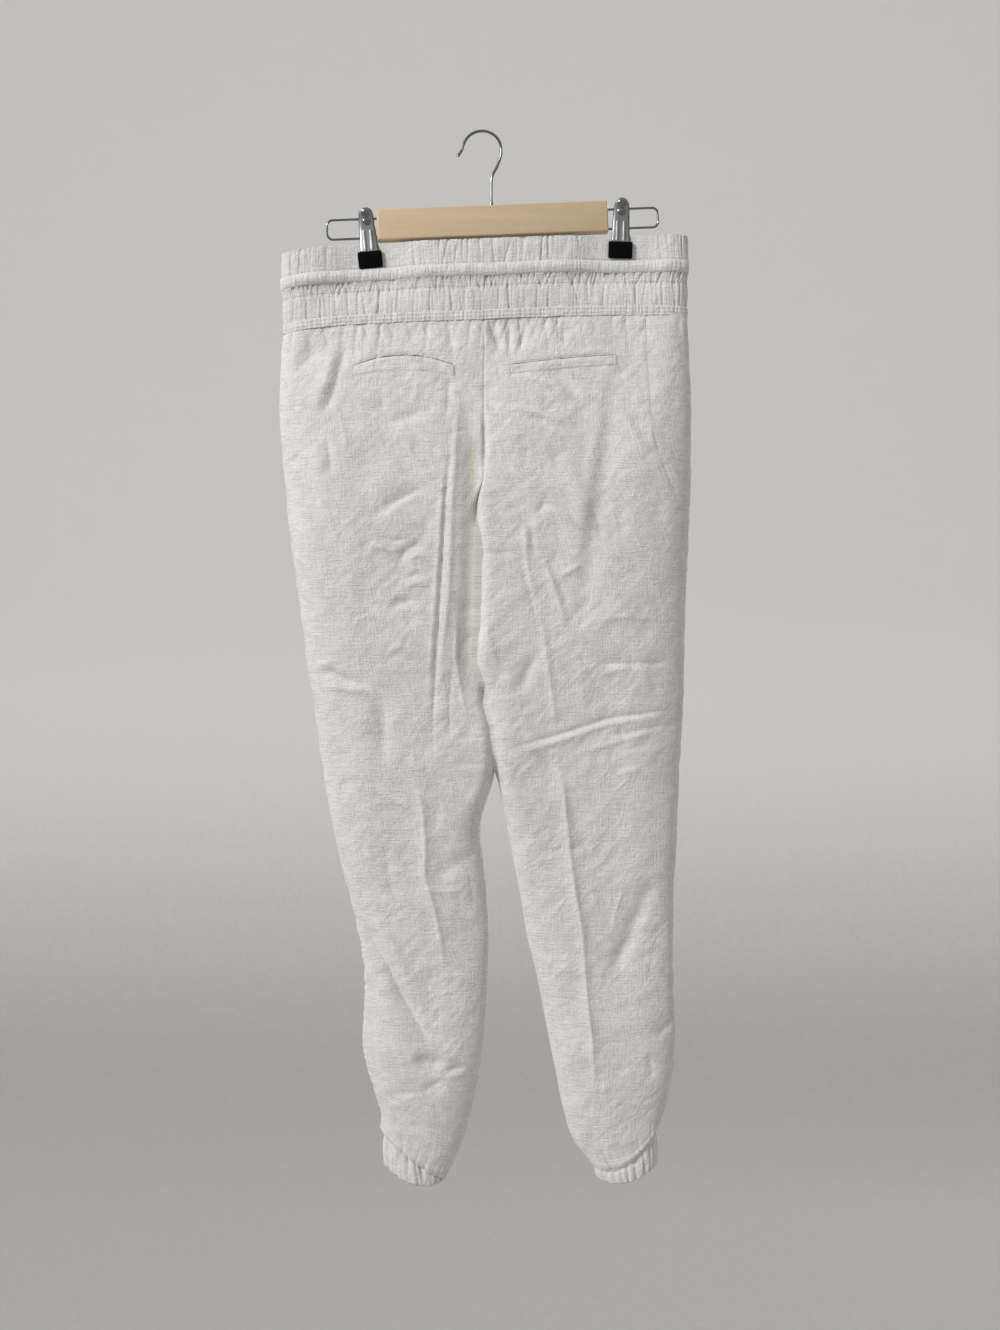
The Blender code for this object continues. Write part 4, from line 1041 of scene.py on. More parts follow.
@made_once("materials", "Pale beech")
def beech(name):
    """Pale lacquered beech with long fibres and short dark flecks."""
    hanger = bpy.context.scene.clip_hanger
    graph = Graph(bpy.data.materials.new(name))
    place = graph.place()

    def grain(along, across, *detail):
        """Noise drawn out along the bar."""
        turned = graph.node("ShaderNodeMapping", {}, {
            "Vector": place, "Rotation": (0, -BAR_TILT, 0), "Scale": (along, across, across)})
        return graph.noise(turned, 1.0, *detail)

    fibres = grain(5.0, 120.0, 5.0, 0.6)
    fine = grain(22.0, 900.0, 2.0)
    flecks = grain(160.0, 1500.0, 1.0)
    dark = graph.node("ShaderNodeValToRGB", {"stops": [
        (0.60, (0, 0, 0, 1)), (0.72, (1, 1, 1, 1))]}, {0: flecks})
    ground = graph.mix(fibres, colour(hanger.wood_dark), colour(hanger.wood_light))
    ground = graph.mix(dark * 0.35, ground, colour(hanger.wood_dark, 0.75))
    return graph.finish(Base_Color=ground, Roughness=0.42 + fine * 0.16,
                        Normal=graph.bump(fine * 0.6 + fibres * 0.4, 0.0002, 0.5),
                        Coat_Weight=0.15, Coat_Roughness=0.3)


def steel(name, dark, light, roughness, painted_dark_reflection=0.0):
    """Polished steel with faint handling marks. Slopes that look sideways can get a painted dark
    reflection.
    """
    graph = Graph(bpy.data.materials.new(name))
    marks = graph.noise(graph.place(), 140.0, 4.0, 0.6)
    tint = graph.mix(marks, colour((dark, dark, dark)), colour((light, light, light)))
    normal = graph.node("ShaderNodeNewGeometry", {}, {}, "Normal")
    sideways = graph.node("ShaderNodeSeparateXYZ", {}, {0: normal}, "X").size()
    # Painted reflection: slopes that face sideways are darkened towards black, standing in for dark
    # surroundings seen in them
    tint = graph.mix((sideways - 0.22) * painted_dark_reflection, tint, (0.012, 0.012, 0.013, 1))
    return graph.finish(Base_Color=tint, Metallic=1.0, Roughness=roughness + marks * 0.12,
                        Normal=graph.bump(marks, 0.0002, 0.06))


@made_once("materials", "Chromed plate")
def chrome(name):
    # The ribs' sideways slopes get a strong painted dark reflection
    return steel(name, 0.26, 0.44, 0.32, 2.2)


@made_once("materials", "Dark bright wire")
def wire_steel(name):
    return steel(name, 0.16, 0.30, 0.10)


@made_once("materials", "Black pad rubber")
def pad_rubber(name):
    """Matt black rubber with a fine grain and a few lint marks."""
    graph = Graph(bpy.data.materials.new(name))
    place = graph.place()
    grain = graph.noise(place, 1900.0, 2.0)
    dust = graph.noise(place, 260.0, 4.0, 0.7)
    tint = graph.mix(dust ** 3, (0.0012, 0.0012, 0.0016, 1), (0.006, 0.006, 0.007, 1))
    return graph.finish(Base_Color=tint, Roughness=0.6 + dust * 0.3,
                        Normal=graph.bump(grain, 0.0003, 0.6), Specular_IOR_Level=0.06)


# ---------------------------------------------------------------- threads

# Distance from one stitch to the next and length of a stitch, in metres, where they are not those
# of the settings
CASING_STITCH, WELT_STITCH, CUFF_STITCH = (0.0022, 0.0017), (0.0025, 0.0019), (0.0024, 0.0018)
# Where the rows run, in millimetres: down the seam band, down the waistband, and as a share of a
# welt's height with how far they lie off the cloth
BAND_STITCH_ROWS = (1.9, 7.0)
CASING_STITCH_ROWS = (UPPER_CASING - 2.2, LOWER_TOP - 0.4)
WELT_STITCH_ROWS = ((0.72, 0.8), (-0.28, 0.1))
TACK_THREAD, EYELET_THREAD = 0.0004, 0.0006


def node_group(name, **inputs):
    """A new Geometry Nodes tree with these inputs, its sockets for them, and the curve through
    the mesh that it is given."""
    tree = bpy.data.node_groups.new(name, "GeometryNodeTree")
    for label, kind in {"Geometry": "Geometry", **inputs, "Finish": "Material"}.items():
        tree.interface.new_socket(label.replace("_", " "), in_out="INPUT",
                                  socket_type=f"NodeSocket{kind}")
    tree.interface.new_socket("Geometry", in_out="OUTPUT", socket_type="NodeSocketGeometry")
    given = tree_node(tree, "NodeGroupInput").outputs
    line = tree_node(tree, "GeometryNodeMeshToCurve", {}, {"Mesh": given["Geometry"]})
    return tree, given, line.outputs[0]


def hand_out(tree, given, geometry):
    """Makes the geometry real, gives it its material and makes it the tree's result."""
    real = tree_node(tree, "GeometryNodeRealizeInstances", {}, {0: geometry})
    painted = tree_node(tree, "GeometryNodeSetMaterial", {}, {
        "Geometry": real.outputs[0], "Material": given["Finish"]})
    tree_node(tree, "NodeGroupOutput", {}, {"Geometry": painted.outputs[0]})
    return tree


def tree_node(tree, kind, settings=None, inputs=None):
    made = tree.nodes.new(kind)
    for key, value in (settings or {}).items():
        setattr(made, key, value)
    for key, value in (inputs or {}).items():
        if isinstance(value, bpy.types.NodeSocket):
            tree.links.new(value, made.inputs[key])
        else:
            made.inputs[key].default_value = value
    return made


@made_once("node_groups", "stitch row")
def stitch_tree(name):
    """Stitches set end to end along a line, each a slim thread with rounded ends."""
    tree, given, line = node_group(
        name, Pitch="Float", Stitch_length="Float", Thread_width="Float", Seed="Int")
    spaced = tree_node(tree, "GeometryNodeResampleCurve", {"mode": "LENGTH"}, {
        "Curve": line, "Length": given["Pitch"]})
    ball = tree_node(tree, "GeometryNodeMeshUVSphere", {}, {
        "Segments": 6, "Rings": 5, "Radius": 0.5})
    size = tree_node(tree, "ShaderNodeCombineXYZ", {}, {
        "X": given["Thread width"], "Y": given["Thread width"], "Z": given["Stitch length"]})
    slim = tree_node(tree, "GeometryNodeTransform", {}, {
        "Geometry": ball.outputs["Mesh"], "Scale": size.outputs[0]})
    smooth = tree_node(tree, "GeometryNodeSetShadeSmooth", {}, {"Geometry": slim.outputs[0]})
    tangent = tree_node(tree, "GeometryNodeInputTangent")
    aim = tree_node(tree, "FunctionNodeAlignRotationToVector", {"axis": "Z"}, {
        "Vector": tangent.outputs[0]})
    vary = tree_node(tree, "FunctionNodeRandomValue", {"data_type": "FLOAT"}, {
        "Seed": given["Seed"], 2: 0.86, 3: 1.08})
    placed = tree_node(tree, "GeometryNodeInstanceOnPoints", {}, {
        "Points": spaced.outputs[0], "Instance": smooth.outputs[0],
        "Rotation": aim.outputs[0], "Scale": vary.outputs[1]})
    return hand_out(tree, given, placed.outputs[0])


@made_once("node_groups", "sewn thread")
def thread_tree(name):
    """A thread of round section that follows a line."""
    tree, given, line = node_group(name, Thread_width="Float")
    half = tree_node(tree, "ShaderNodeMath", {"operation": "MULTIPLY"}, {
        0: given["Thread width"], 1: 0.5})
    ring = tree_node(tree, "GeometryNodeCurvePrimitiveCircle", {}, {
        "Resolution": 6, "Radius": half.outputs[0]})
    tube = tree_node(tree, "GeometryNodeCurveToMesh", {}, {
        "Curve": line, "Profile Curve": ring.outputs[0], "Fill Caps": True})
    smooth = tree_node(tree, "GeometryNodeSetShadeSmooth", {}, {"Geometry": tube.outputs[0]})
    return hand_out(tree, given, smooth.outputs[0])


def lines_object(name, paths):
    """An object of bare edges through each path of points in millimetres."""
    points, edges = [], []
    for path in paths:
        first = len(points)
        points.extend((np.asarray(path) * MM).tolist())
        edges.extend((i, i + 1) for i in range(first, len(points) - 1))
    mesh = bpy.data.meshes.new(name)
    mesh.from_pydata(points, edges, [])
    return new_object(name, mesh)


def grown(obj, tree, values):
    """Runs a Geometry Nodes tree on an object and keeps its result as a plain mesh."""
    modifier = obj.modifiers.new(tree.name, "NODES")
    modifier.node_group = tree
    sockets = {item.name: item.identifier for item in tree.interface.items_tree
               if item.in_out == "INPUT"}
    for label, value in values.items():
        modifier[sockets[label]] = value
    return apply_modifiers(obj)


def stitch_rows(name, paths, seed, pitch=None, length=None):
    """Sews a row of stitches along each path."""
    sewing = bpy.context.scene.sewing
    obj = grown(lines_object(name, paths), stitch_tree(), {
        "Pitch": pitch or sewing.pitch, "Stitch length": length or sewing.stitch_length,
        "Thread width": sewing.thread_width, "Seed": seed, "Finish": thread()})
    finished(obj, slot="thread")


def sewn_thread(name, paths, width, *nodes):
    """Lays one thread along each path."""
    obj = grown(lines_object(name, paths), thread_tree(), {
        "Thread width": width, "Finish": thread()})
    finished(obj, *nodes, slot="thread")


def zigzag(start, end, half_width, count):
    """A zigzag in the (x, drop) plane between two places, for a bar tack."""
    start, end = np.array(start, float), np.array(end, float)
    way = end - start
    side = np.array([-way[1], way[0]]) / np.linalg.norm(way) * half_width
    steps = np.linspace(0, 1, count)
    return np.array([start + way * t + side * (-1) ** i for i, t in enumerate(steps)])


# ---------------------------------------------------------------- settings


def metres(label, meaning, default, **limits):
    """A setting in metres."""
    return FloatProperty(
        name=label, description=meaning, default=default, unit="LENGTH", **limits)


def amount(label, meaning, default, **limits):
    return FloatProperty(name=label, description=meaning, default=default, **limits)


def swatch(label, meaning, default):
    return FloatVectorProperty(name=label, description=meaning, default=default,
                               subtype="COLOR", size=3, min=0, max=1)


class ClothSettings(PropertyGroup):
    back_spacing: metres(
        "Back Mesh Spacing", "Distance between mesh rows on the back of the legs", 0.0017,
        min=0.0008)
    front_spacing: metres(
        "Front Mesh Spacing", "Distance between mesh rows on the front of the legs", 0.0027,
        min=0.0008)
    band_spacing: metres(
        "Waistband Mesh Spacing", "Distance between mesh columns round the waist", 0.00085,
        min=0.0006)
    thickness: metres(
        "Cloth Thickness", "Thickness of the cloth where its edge shows", 0.0007, min=0.0002)
    crumple_height: metres(
        "Crumple Height", "Height of the soft crumples all over the legs", 0.001, min=0.0)
    yarn_pitch: metres(
        "Yarn Pitch", "Distance from one yarn to the next but one in the weave", 0.0011,
        min=0.0003, precision=4)
    bump_strength: amount(
        "Weave Relief", "Strength of the yarn and slub relief", 0.55, min=0.0, max=1.0,
        subtype="FACTOR")
    colour: swatch("Linen Colour", "Colour of the thicker yarns", (0.84, 0.832, 0.815))
    # Painted shade: the darker colour that deep creases and the waistband's grooves are painted
    # with
    crease_shade_colour: swatch(
        "Hollow Colour", "Colour at the bottom of the deepest creases", (0.60, 0.575, 0.50))
    shadow_colour: swatch(
        "Open Weave Colour", "Colour where the weave is thin", (0.66, 0.65, 0.625))


class SewingSettings(PropertyGroup):
    pitch: metres(
        "Stitch Pitch", "Distance from one stitch to the next", 0.0029, min=0.0012)
    stitch_length: metres("Stitch Length", "Length of one stitch", 0.0023, min=0.0008)
    thread_width: metres(
        "Thread Width", "Width of the sewing thread", 0.00055, min=0.0002, precision=5)
    eyelet_stitches: IntProperty(
        name="Eyelet Stitches", description="Number of radial stitches round an eyelet",
        default=34, min=12)
    tack_stitches: IntProperty(
        name="Bar Tack Stitches", description="Number of passes in a bar tack",
        default=18, min=6)


class HangerSettings(PropertyGroup):
    wood_light: swatch("Light Wood", "Colour of the bar's light fibres", (0.69, 0.53, 0.35))
    wood_dark: swatch("Dark Wood", "Colour of the bar's dark fibres", (0.53, 0.385, 0.235))
    bar_edge: metres(
        "Bar Edge Radius", "Radius of the bar's rounded edges", 0.0022, min=0.0005)
    rib_height: metres(
        "Plate Rib Height", "Height of the ribs pressed into a clip's plate", 0.0006, min=0.0,
        precision=4)


class StageSettings(PropertyGroup):
    camera_distance: metres(
        "Camera Distance", "Distance from the camera to the trousers", 1.45, min=0.5)
    camera_x: metres("Camera X", "The camera's place along the hanger bar", 0.019)
    camera_z: metres("Camera Height", "The camera's height, measured from the hook", -0.565)
    lens: amount("Lens", "The camera's focal length in millimetres", 37.0, min=10)
    key_strength: amount(
        "Key Light", "Strength of the soft light from the upper left", 1.24, min=0)
    near_power: amount(
        "Near Light", "Power in watts of the soft lamp at the upper left, which lights the waist "
        "more than the hems", 21.5, min=0)
    fill_strength: amount(
        "Back Light", "Strength of the soft light on the front of the trousers", 1.9, min=0)
    air: amount("Room Light", "Strength of the even light from all round", 0.385, min=0)
    floor_colour: swatch("Floor Colour", "Colour of the floor and the sweep", (0.78, 0.77, 0.755))


# ---------------------------------------------------------------- cloth pieces


class TROUSERS_OT_waistband(Operator):
    """Builds the gathered casings and the shirred strip of the waistband."""

    bl_idname = "trousers.waistband"
    bl_label = "Waistband"

    def execute(self, context):
        cloth, waist = context.scene.linen_cloth, Waist()
        along = waist.around(cloth.band_spacing)
        lining = np.array([24.0, 16.0, 8.0, 2.5, 0.5])
        behind_roll = [28.0, 31.0, 34.5]
        downs = np.concatenate([
            [0.0, 0.5], np.linspace(1.3, UPPER_CASING, 17), behind_roll,
            np.linspace(37, LOWER_TOP, 11), np.linspace(51, CASING_HEIGHT, 18)])
        down = downs[:, None]
        offset = waist.casing(along, down)
        hidden = (down > UPPER_CASING + 0.5) & (down < STRIP_TOP - 3)
        offset = np.where(hidden, -0.8, offset)
        offset[0] = -cloth.thickness / MM
        points = np.concatenate([
            waist.point(along, lining[:, None], -2 * cloth.thickness / MM),
            waist.point(along, down, offset)])
        every = np.concatenate([lining, downs])
        dip = 0.5 * waist.gathers("upper", along, 0.0) + 0.4 * waist.gathers("fold", along, 0.0)
        points[..., 2] += dip * ebb(every[:, None], 4)
        # Painted shade: the gathers' grooves, and a band just under the roll, are darkened through
        # the shade attribute
        groove_shade = np.clip(-waist.grooved(along, every[:, None]) / 4.2, 0, 1)
        shaded = hump(every[:, None] - STRIP_TOP - 2.5, 3.2)
        groove_shade = np.clip(groove_shade + shaded * (0.3 + 0.4 * wave(along / 14, 0.9, 83)), 0, 1)
        groove_shade[:len(lining)] = 0
        obj = cloth_grid("waistband_cloth", points, ring_uv(points, every), ring=True, hollow=groove_shade)
        finished(obj, "waistband")
        return {"FINISHED"}


class TROUSERS_OT_tunnel(Operator):
    """Builds the padded roll that the cord runs in."""

    bl_idname = "trousers.tunnel"
    bl_label = "Drawcord Tunnel"

    def execute(self, context):
        cloth, waist = context.scene.linen_cloth, Waist()
        along = waist.around(cloth.band_spacing)
        turns = np.linspace(0, math.pi, 17)[:, None]
        middle, half = UPPER_CASING + ROLL / 2, ROLL / 2
        gathers = waist.gathers("roll", along, turns / math.pi)
        down = middle - (half + SEAM_GAP) * np.cos(turns) + 0.7 * wave(along / 46, 0.3, 78)
        at_side = 1 - 0.75 * ebb(waist.from_side(along), 10)
        bulge = (0.62 * ROLL_DEPTH + 0.7 * wave(along / 24, 1.3, 79)) * at_side + gathers
        front = waist.point(along, down, 0.8 + bulge * np.sin(turns) ** 1.5)
        back = waist.point(along, down[::-1][1:-1:4], SEAM_GAP * 0.2)
        points = np.concatenate([front, back])
        round_uv = np.arange(len(points) + 1.0)[:, None]
        uv = np.stack(np.broadcast_arrays(np.append(along[0], waist.length), round_uv), -1)
        quads, places, _ = grid_quads(points, uv, ring=True, closed=True)
        mesh = cloth_mesh("drawcord_roll", points, quads, places)
        shape = bmesh.new()
        shape.from_mesh(mesh)
        if shape.calc_volume(signed=True) < 0:
            bmesh.ops.reverse_faces(shape, faces=shape.faces)
        shape.to_mesh(mesh)
        shape.free()
        obj = finished(new_object("drawcord_roll", mesh), "drawcord_tunnel")
        return {"FINISHED"}


class TROUSERS_OT_seam_band(Operator):
    """Builds the flat stitched band under the waistband."""

    bl_idname = "trousers.seam_band"
    bl_label = "Waist Seam Band"

    def execute(self, context):
        cloth, waist = context.scene.linen_cloth, Waist()
        along = waist.around(cloth.band_spacing)
        downs = np.concatenate([[CASING_HEIGHT - 1.5], np.linspace(CASING_HEIGHT, BAND_HEIGHT, 9)])
        down = downs[:, None]
        points = waist.point(along, down, band_offset(waist, along, down))
        points[..., 2] += 0.6 * wave(along / 11, 0.7, 80) * fade(down, 80, BAND_HEIGHT)
        obj = cloth_grid("waist_seam_cloth", points, ring_uv(points, downs), ring=True,
                         thickness=cloth.thickness / MM)
        finished(obj, "waist_seam_band")
        return {"FINISHED"}


def band_offset(waist, along, down):
    """How far the stitched band stands out, with a small dip at each row of stitches."""
    rows = sum(hump(down - CASING_HEIGHT - row, 0.7) for row in BAND_STITCH_ROWS)
    puckers = 1.15 * waist.gathers("fold", along, 0.5)
    top = 0.8 * (1 - fade(down, CASING_HEIGHT - 1.5, CASING_HEIGHT + 0.4))
    low = 0.3 * fade(down, BAND_HEIGHT - 0.8, BAND_HEIGHT)
    return 0.7 - 0.75 * rows + 0.45 * noise(along / 12, down / 9, 81) + puckers - top - low


# The way across a panel and round its edges, near enough to choose its number of columns by
PANEL_SPAN = 226 * 1.1


def panel_turns(leg, face, columns, drops):
    """Turns across a panel at each drop, closer together near its edges."""
    start = leg.seam_turn(drops)
    end = np.full(len(drops), math.pi if face == "back" else -math.pi)
    steps = np.linspace(0, 1, columns + 1)
    steps = steps + 0.3 * np.sin(FULL_TURN * steps) / FULL_TURN
    return start[:, None] + (end - start)[:, None] * steps


def panel_points(leg, face, spacing):
    """A panel's points, cloth coordinates and painted crease shade. Its edges turn in to meet the
    panels beside it.
    """
    columns = round(PANEL_SPAN / spacing)
    drops = np.linspace(leg.top - 3.5, leg.hem, round((leg.hem - leg.top) / spacing))
    turns = panel_turns(leg, face, columns, drops)
    rows = np.repeat(drops[:, None], columns + 1, axis=1)
    points = leg.point(turns, rows)
    side = fade(leg.read("seam", drops), 0.02, 0.1)[:, None]
    from_seam = arc_lengths(points)
    if face == "back":
        points[:, -2:, 0] -= leg.side * leg.under(drops)[:, None] * (3.0, 9.0)
    points[..., 1] += side * 0.7 * hump(from_seam, 1.3)
    return points, np.stack([from_seam, rows], -1), leg.hollow(turns, rows)


class TROUSERS_OT_legs(Operator):
    """Builds the four leg panels with their creases."""

    bl_idname = "trousers.legs"
    bl_label = "Leg Panels"

    def execute(self, context):
        cloth = context.scene.linen_cloth
        spacings = {"back": cloth.back_spacing / MM, "front": cloth.front_spacing / MM}
        for side, leg in legs().items():
            for face, spacing in spacings.items():
                points, uv, hollow = panel_points(leg, face, spacing)
                obj = cloth_grid(f"{face}_{side}_cloth", points, uv, hollow=hollow)
                finished(obj, f"{face}_{side}")
        return {"FINISHED"}


class TROUSERS_OT_welts(Operator):
    """Builds the two pocket welts on the seat."""

    bl_idname = "trousers.welts"
    bl_label = "Pocket Welts"

    def execute(self, context):
        cloth, both = context.scene.linen_cloth, legs()
        for welt in WELTS:
            name, side = welt[:2]
            share, low = np.linspace(0, 1, 91)[None, :], np.linspace(0, 1, 13)[:, None]
            x, drop = welt_place(welt, share, low)
            lip = 1.0 * (1 - low) ** 0.6 * quarter_round(low / 0.12 + 0.35)
            ends = quarter_round(share / 0.04) * quarter_round((1 - share) / 0.04)
            uneven = 0.75 + 0.5 * noise(x / 9, low * 2, 88)
            lift = 0.1 + (lip + 0.35 * np.sin(math.pi * low)) * ends * uneven
            lift = lift + 0.35 * hump(low - 0.80, 0.08) - 0.9 * fade(low, 0.72, 1.0)
            points = both[side].on_cloth(x, drop, lift)
            uv = np.stack([x, np.broadcast_to(drop, x.shape)], -1)
            obj = cloth_grid(f"{name}_cloth", points, uv, thickness=cloth.thickness / MM)
            finished(obj, name)
            self.painted_slit_shade(both[side], welt)
        return {"FINISHED"}

    def painted_slit_shade(self, leg, welt):
        """A thin dark tube of painted shade laid along the slit above a welt."""
        share = np.linspace(0.01, 0.99, 160)
        x, drop = welt_place(welt, share, np.full(share.shape, -0.06))
        path = leg.on_cloth(x, drop + 0.35 * wave(x / 2.4, 0, 89), 0.2)
        uneven = 0.85 + 0.5 * wave(x / 7, 0, 90)
        radii = 0.55 * np.sin(math.pi * share) ** 0.4 * uneven
        finished(tube(f"{welt[0]}_mouth", path, radii, mouth_shade(), 8))


def welt_place(welt, share, low):
    """Places on a welt, share along it and low from its upper to its lower edge."""
    left, right, rise_upper, rise_lower = welt[2:]
    x = left[0] + (right[0] - left[0]) * share
    arch = 4 * share * (1 - share)
    upper = left[1] + (right[1] - left[1]) * share - rise_upper * arch
    lower = left[2] + (right[2] - left[2]) * share - rise_lower * arch
    x, low = np.broadcast_arrays(x, low)
    return x, upper + (lower - upper) * low


def cuff_ring(leg, cuff, turns, share):
    """A cuff's rings, share running from 0 inside the hem to 1 at the lower edge."""
    _, _, (x0, d0), (x1, d1), sag = cuff
    inside = leg.point(turns, np.full(turns.shape, leg.hem - 2.5))
    centre = np.array([inside[..., 0].mean(), 0, inside[..., 2].mean()])
    top = inside + 0.0
    top[..., :2] = centre[:2] + (inside[..., :2] - centre[:2]) * 0.9
    across = (1 - np.cos(turns)) / 2
    half, middle = abs(x1 - x0) / 2, (x0 + x1) / 2
    low = np.stack([
        middle + math.copysign(1, x0 - x1) * half * np.cos(turns),
        -CUFF_HALF_DEPTH * np.sin(turns),
        -(d0 + (d1 - d0) * across) - sag * 4 * across * (1 - across)], -1)
    return top + (low - top) * share


CUFF_GIRTH, CUFF_SPACING, CUFF_HEIGHT = 150, 0.8, 28
CUFF_SEEDS = {-1: 90, 1: 94}


def cuff_points(leg, cuff):
    """A cuff's grid, ribbed by its elastic."""
    columns = round(CUFF_GIRTH / CUFF_SPACING)
    turns = np.linspace(-math.pi, math.pi, columns, endpoint=False)[None, :]
    share = np.linspace(0, 1, 34)[:, None]
    points = cuff_ring(leg, cuff, turns, share[..., None])
    seed = CUFF_SEEDS[leg.side]
    ribs = sum(
        grooves(turns % FULL_TURN, share, gather_lines(seed + step, *sizes), FULL_TURN)
        for step, *sizes in CUFF_GATHERS)
    crown = (1.6 * np.sin(math.pi * share) ** 0.6 + 0.4) * fade(share, 0.0, 0.4)
    round_in = 1.2 * fade(share, 0.9, 1.0)
    centre = points.mean(axis=1, keepdims=True)
    out = points - centre
    out[..., 2] = 0
    out /= np.linalg.norm(out, axis=-1, keepdims=True)
    points = points + out * (crown + 1.35 * ribs - round_in)[..., None]
    points[..., 2] -= 0.45 * ribs * fade(share, 0.6, 1.0)
    return points, share


class TROUSERS_OT_cuffs(Operator):
    """Builds the two gathered elastic cuffs."""

    bl_idname = "trousers.cuffs"
    bl_label = "Cuffs"

    def execute(self, context):
        cloth, both = context.scene.linen_cloth, legs()
        for cuff in CUFFS:
            name, side = cuff[:2]
            points, share = cuff_points(both[side], cuff)
            uv = ring_uv(points, share[:, 0] * CUFF_HEIGHT)
            obj = cloth_grid(f"{name}_cloth", points, uv, ring=True,
                             thickness=cloth.thickness / MM)
            finished(obj, name)
        return {"FINISHED"}


class TROUSERS_OT_stitching(Operator):
    """Sews the rows of stitches, the bar tacks and the two eyelets."""

    bl_idname = "trousers.stitching"
    bl_label = "Stitching"

    def execute(self, context):
        sewing, waist, both = context.scene.sewing, Waist(), legs()
        self.waist_rows(waist)
        self.welt_rows(both)
        self.panel_rows(both)
        self.cuff_rows(both)
        self.tacks(both, sewing)
        self.eyelets(waist, sewing)
        return {"FINISHED"}

    def waist_rows(self, waist):
        along = np.arange(0, waist.length, 1.0)
        rows = []
        for row in BAND_STITCH_ROWS:
            level = np.full(along.shape, CASING_HEIGHT + row)
            rows.append(waist.point(along, level, band_offset(waist, along, level) + 0.15))
        stitch_rows("band_stitches", rows, 1)
        rows = []
        for down in CASING_STITCH_ROWS:
            level = np.full(along.shape, down)
            rows.append(waist.point(along, level, waist.casing(along, level) + 0.3))
        stitch_rows("casing_stitches", rows, 2, *CASING_STITCH)

    def welt_rows(self, both):
        rows, share = [], np.linspace(0.02, 0.98, 90)
        for welt in WELTS:
            for low, lift in WELT_STITCH_ROWS:
                x, drop = welt_place(welt, share, np.full(share.shape, low))
                rows.append(both[welt[1]].on_cloth(x, drop, lift))
        stitch_rows("welt_stitches", rows, 3, *WELT_STITCH)

    def panel_rows(self, both):
        """A row down the side seam as far as it shows, and two along each front pocket."""
        leg = both["right"]
        drops = np.arange(leg.top + 4, leg.hem - 4, 1.5)
        turn = leg.seam_turn(drops) + 0.24
        rows = [(leg.point(turn, drops) + 0.15 * leg.normal(turn, drops))[:110]]
        t = np.linspace(0, 1, 120)
        drop = FRONT_POCKET_TOP + FRONT_POCKET_HEIGHT * t
        for side, x_top, x_low in FRONT_POCKETS:
            x = x_top + (x_low - x_top) * t**1.3
            second = x - math.copysign(POCKET_ROW_GAP, x_low) * (1 - 0.4 * t)
            rows += [both[side].on_cloth(at, drop, 0.15, back=False) for at in (x, second)]
        stitch_rows("panel_stitches", rows, 4)

    def cuff_rows(self, both):
        rings = [cuff_points(both[cuff[1]], cuff)[0][5] for cuff in CUFFS]
        rows = [np.concatenate([ring, ring[:1]]) for ring in rings]
        stitch_rows("cuff_stitches", rows, 5, *CUFF_STITCH)

    def tacks(self, both, sewing):
        paths = []
        for _, side, left, right, _, _ in WELTS:
            for end, inset in ((left, 1.0), (right, -1.0)):
                x = end[0] + inset
                flat = zigzag((x, end[1] - 1.5), (x, end[2] + 1.5), 1.0, sewing.tack_stitches)
                paths.append(both[side].on_cloth(flat[:, 0], flat[:, 1], 0.9))
        flat = zigzag(*POCKET_TACK, 0.7, sewing.tack_stitches // 2)
        paths.append(both["right"].on_cloth(flat[:, 0], flat[:, 1], 0.1))
        sewn_thread("bar_tacks", paths, TACK_THREAD)

    def eyelets(self, waist, sewing):
        for name, side in (("eyelet_left", -1), ("eyelet_right", 1)):
            middle = along_at(waist, CENTRE_BACK + side * EYELET_SPACING / 2, back=False)
            turns = np.linspace(0, FULL_TURN, 2 * sewing.eyelet_stitches + 1)
            spokes = np.where(np.arange(len(turns)) % 2, EYELET_OUTER, EYELET_INNER)
            rings = ((spokes, 0.45), (EYELET_OUTER * 0.95, 0.3), (EYELET_INNER * 1.02, 0.4))
            paths = [self.on_roll(waist, middle, turns, radius, lift) for radius, lift in rings]
            sewn_thread(f"{name}_thread", paths, EYELET_THREAD, name)

    def on_roll(self, waist, middle, turns, radius, lift):
        along = middle + radius * np.cos(turns)
        down = UPPER_CASING + ROLL / 2 + radius * np.sin(turns)
        share = np.clip(np.abs(down - UPPER_CASING - ROLL / 2) / (ROLL / 2), 0, 1)
        return waist.point(along, down, ROLL_DEPTH * (1 - share**2) ** 0.42 + 0.3 + lift)


# ---------------------------------------------------------------- hanger


def along_bar(along, up, y=0.0):
    """A point given along and across the tilted bar, from the bar's centre."""
    x = BAR_CENTRE[0] + along * math.cos(BAR_TILT) - up * math.sin(BAR_TILT)
    z = BAR_CENTRE[1] + along * math.sin(BAR_TILT) + up * math.cos(BAR_TILT)
    return (x, y, z)


def clip_place(clip, across, down, y):
    """A point of a clip from its plate's top, across and down the plate."""
    _, (x, z), lean = clip
    return (
        x + across * math.cos(lean) + down * math.sin(lean),
        y,
        z + across * math.sin(lean) - down * math.cos(lean),
    )


def smooth_path(points, spacing):
    """Points at this spacing on a smooth curve through the route's own points."""
    points = np.array(points, float)
    way = np.concatenate([[0], np.cumsum(np.linalg.norm(np.diff(points, axis=0), axis=1))])
    steps = np.linspace(0, way[-1], max(2, round(way[-1] / spacing)))
    return np.stack([smooth_through(way, points[:, axis], steps) for axis in range(3)], 1)


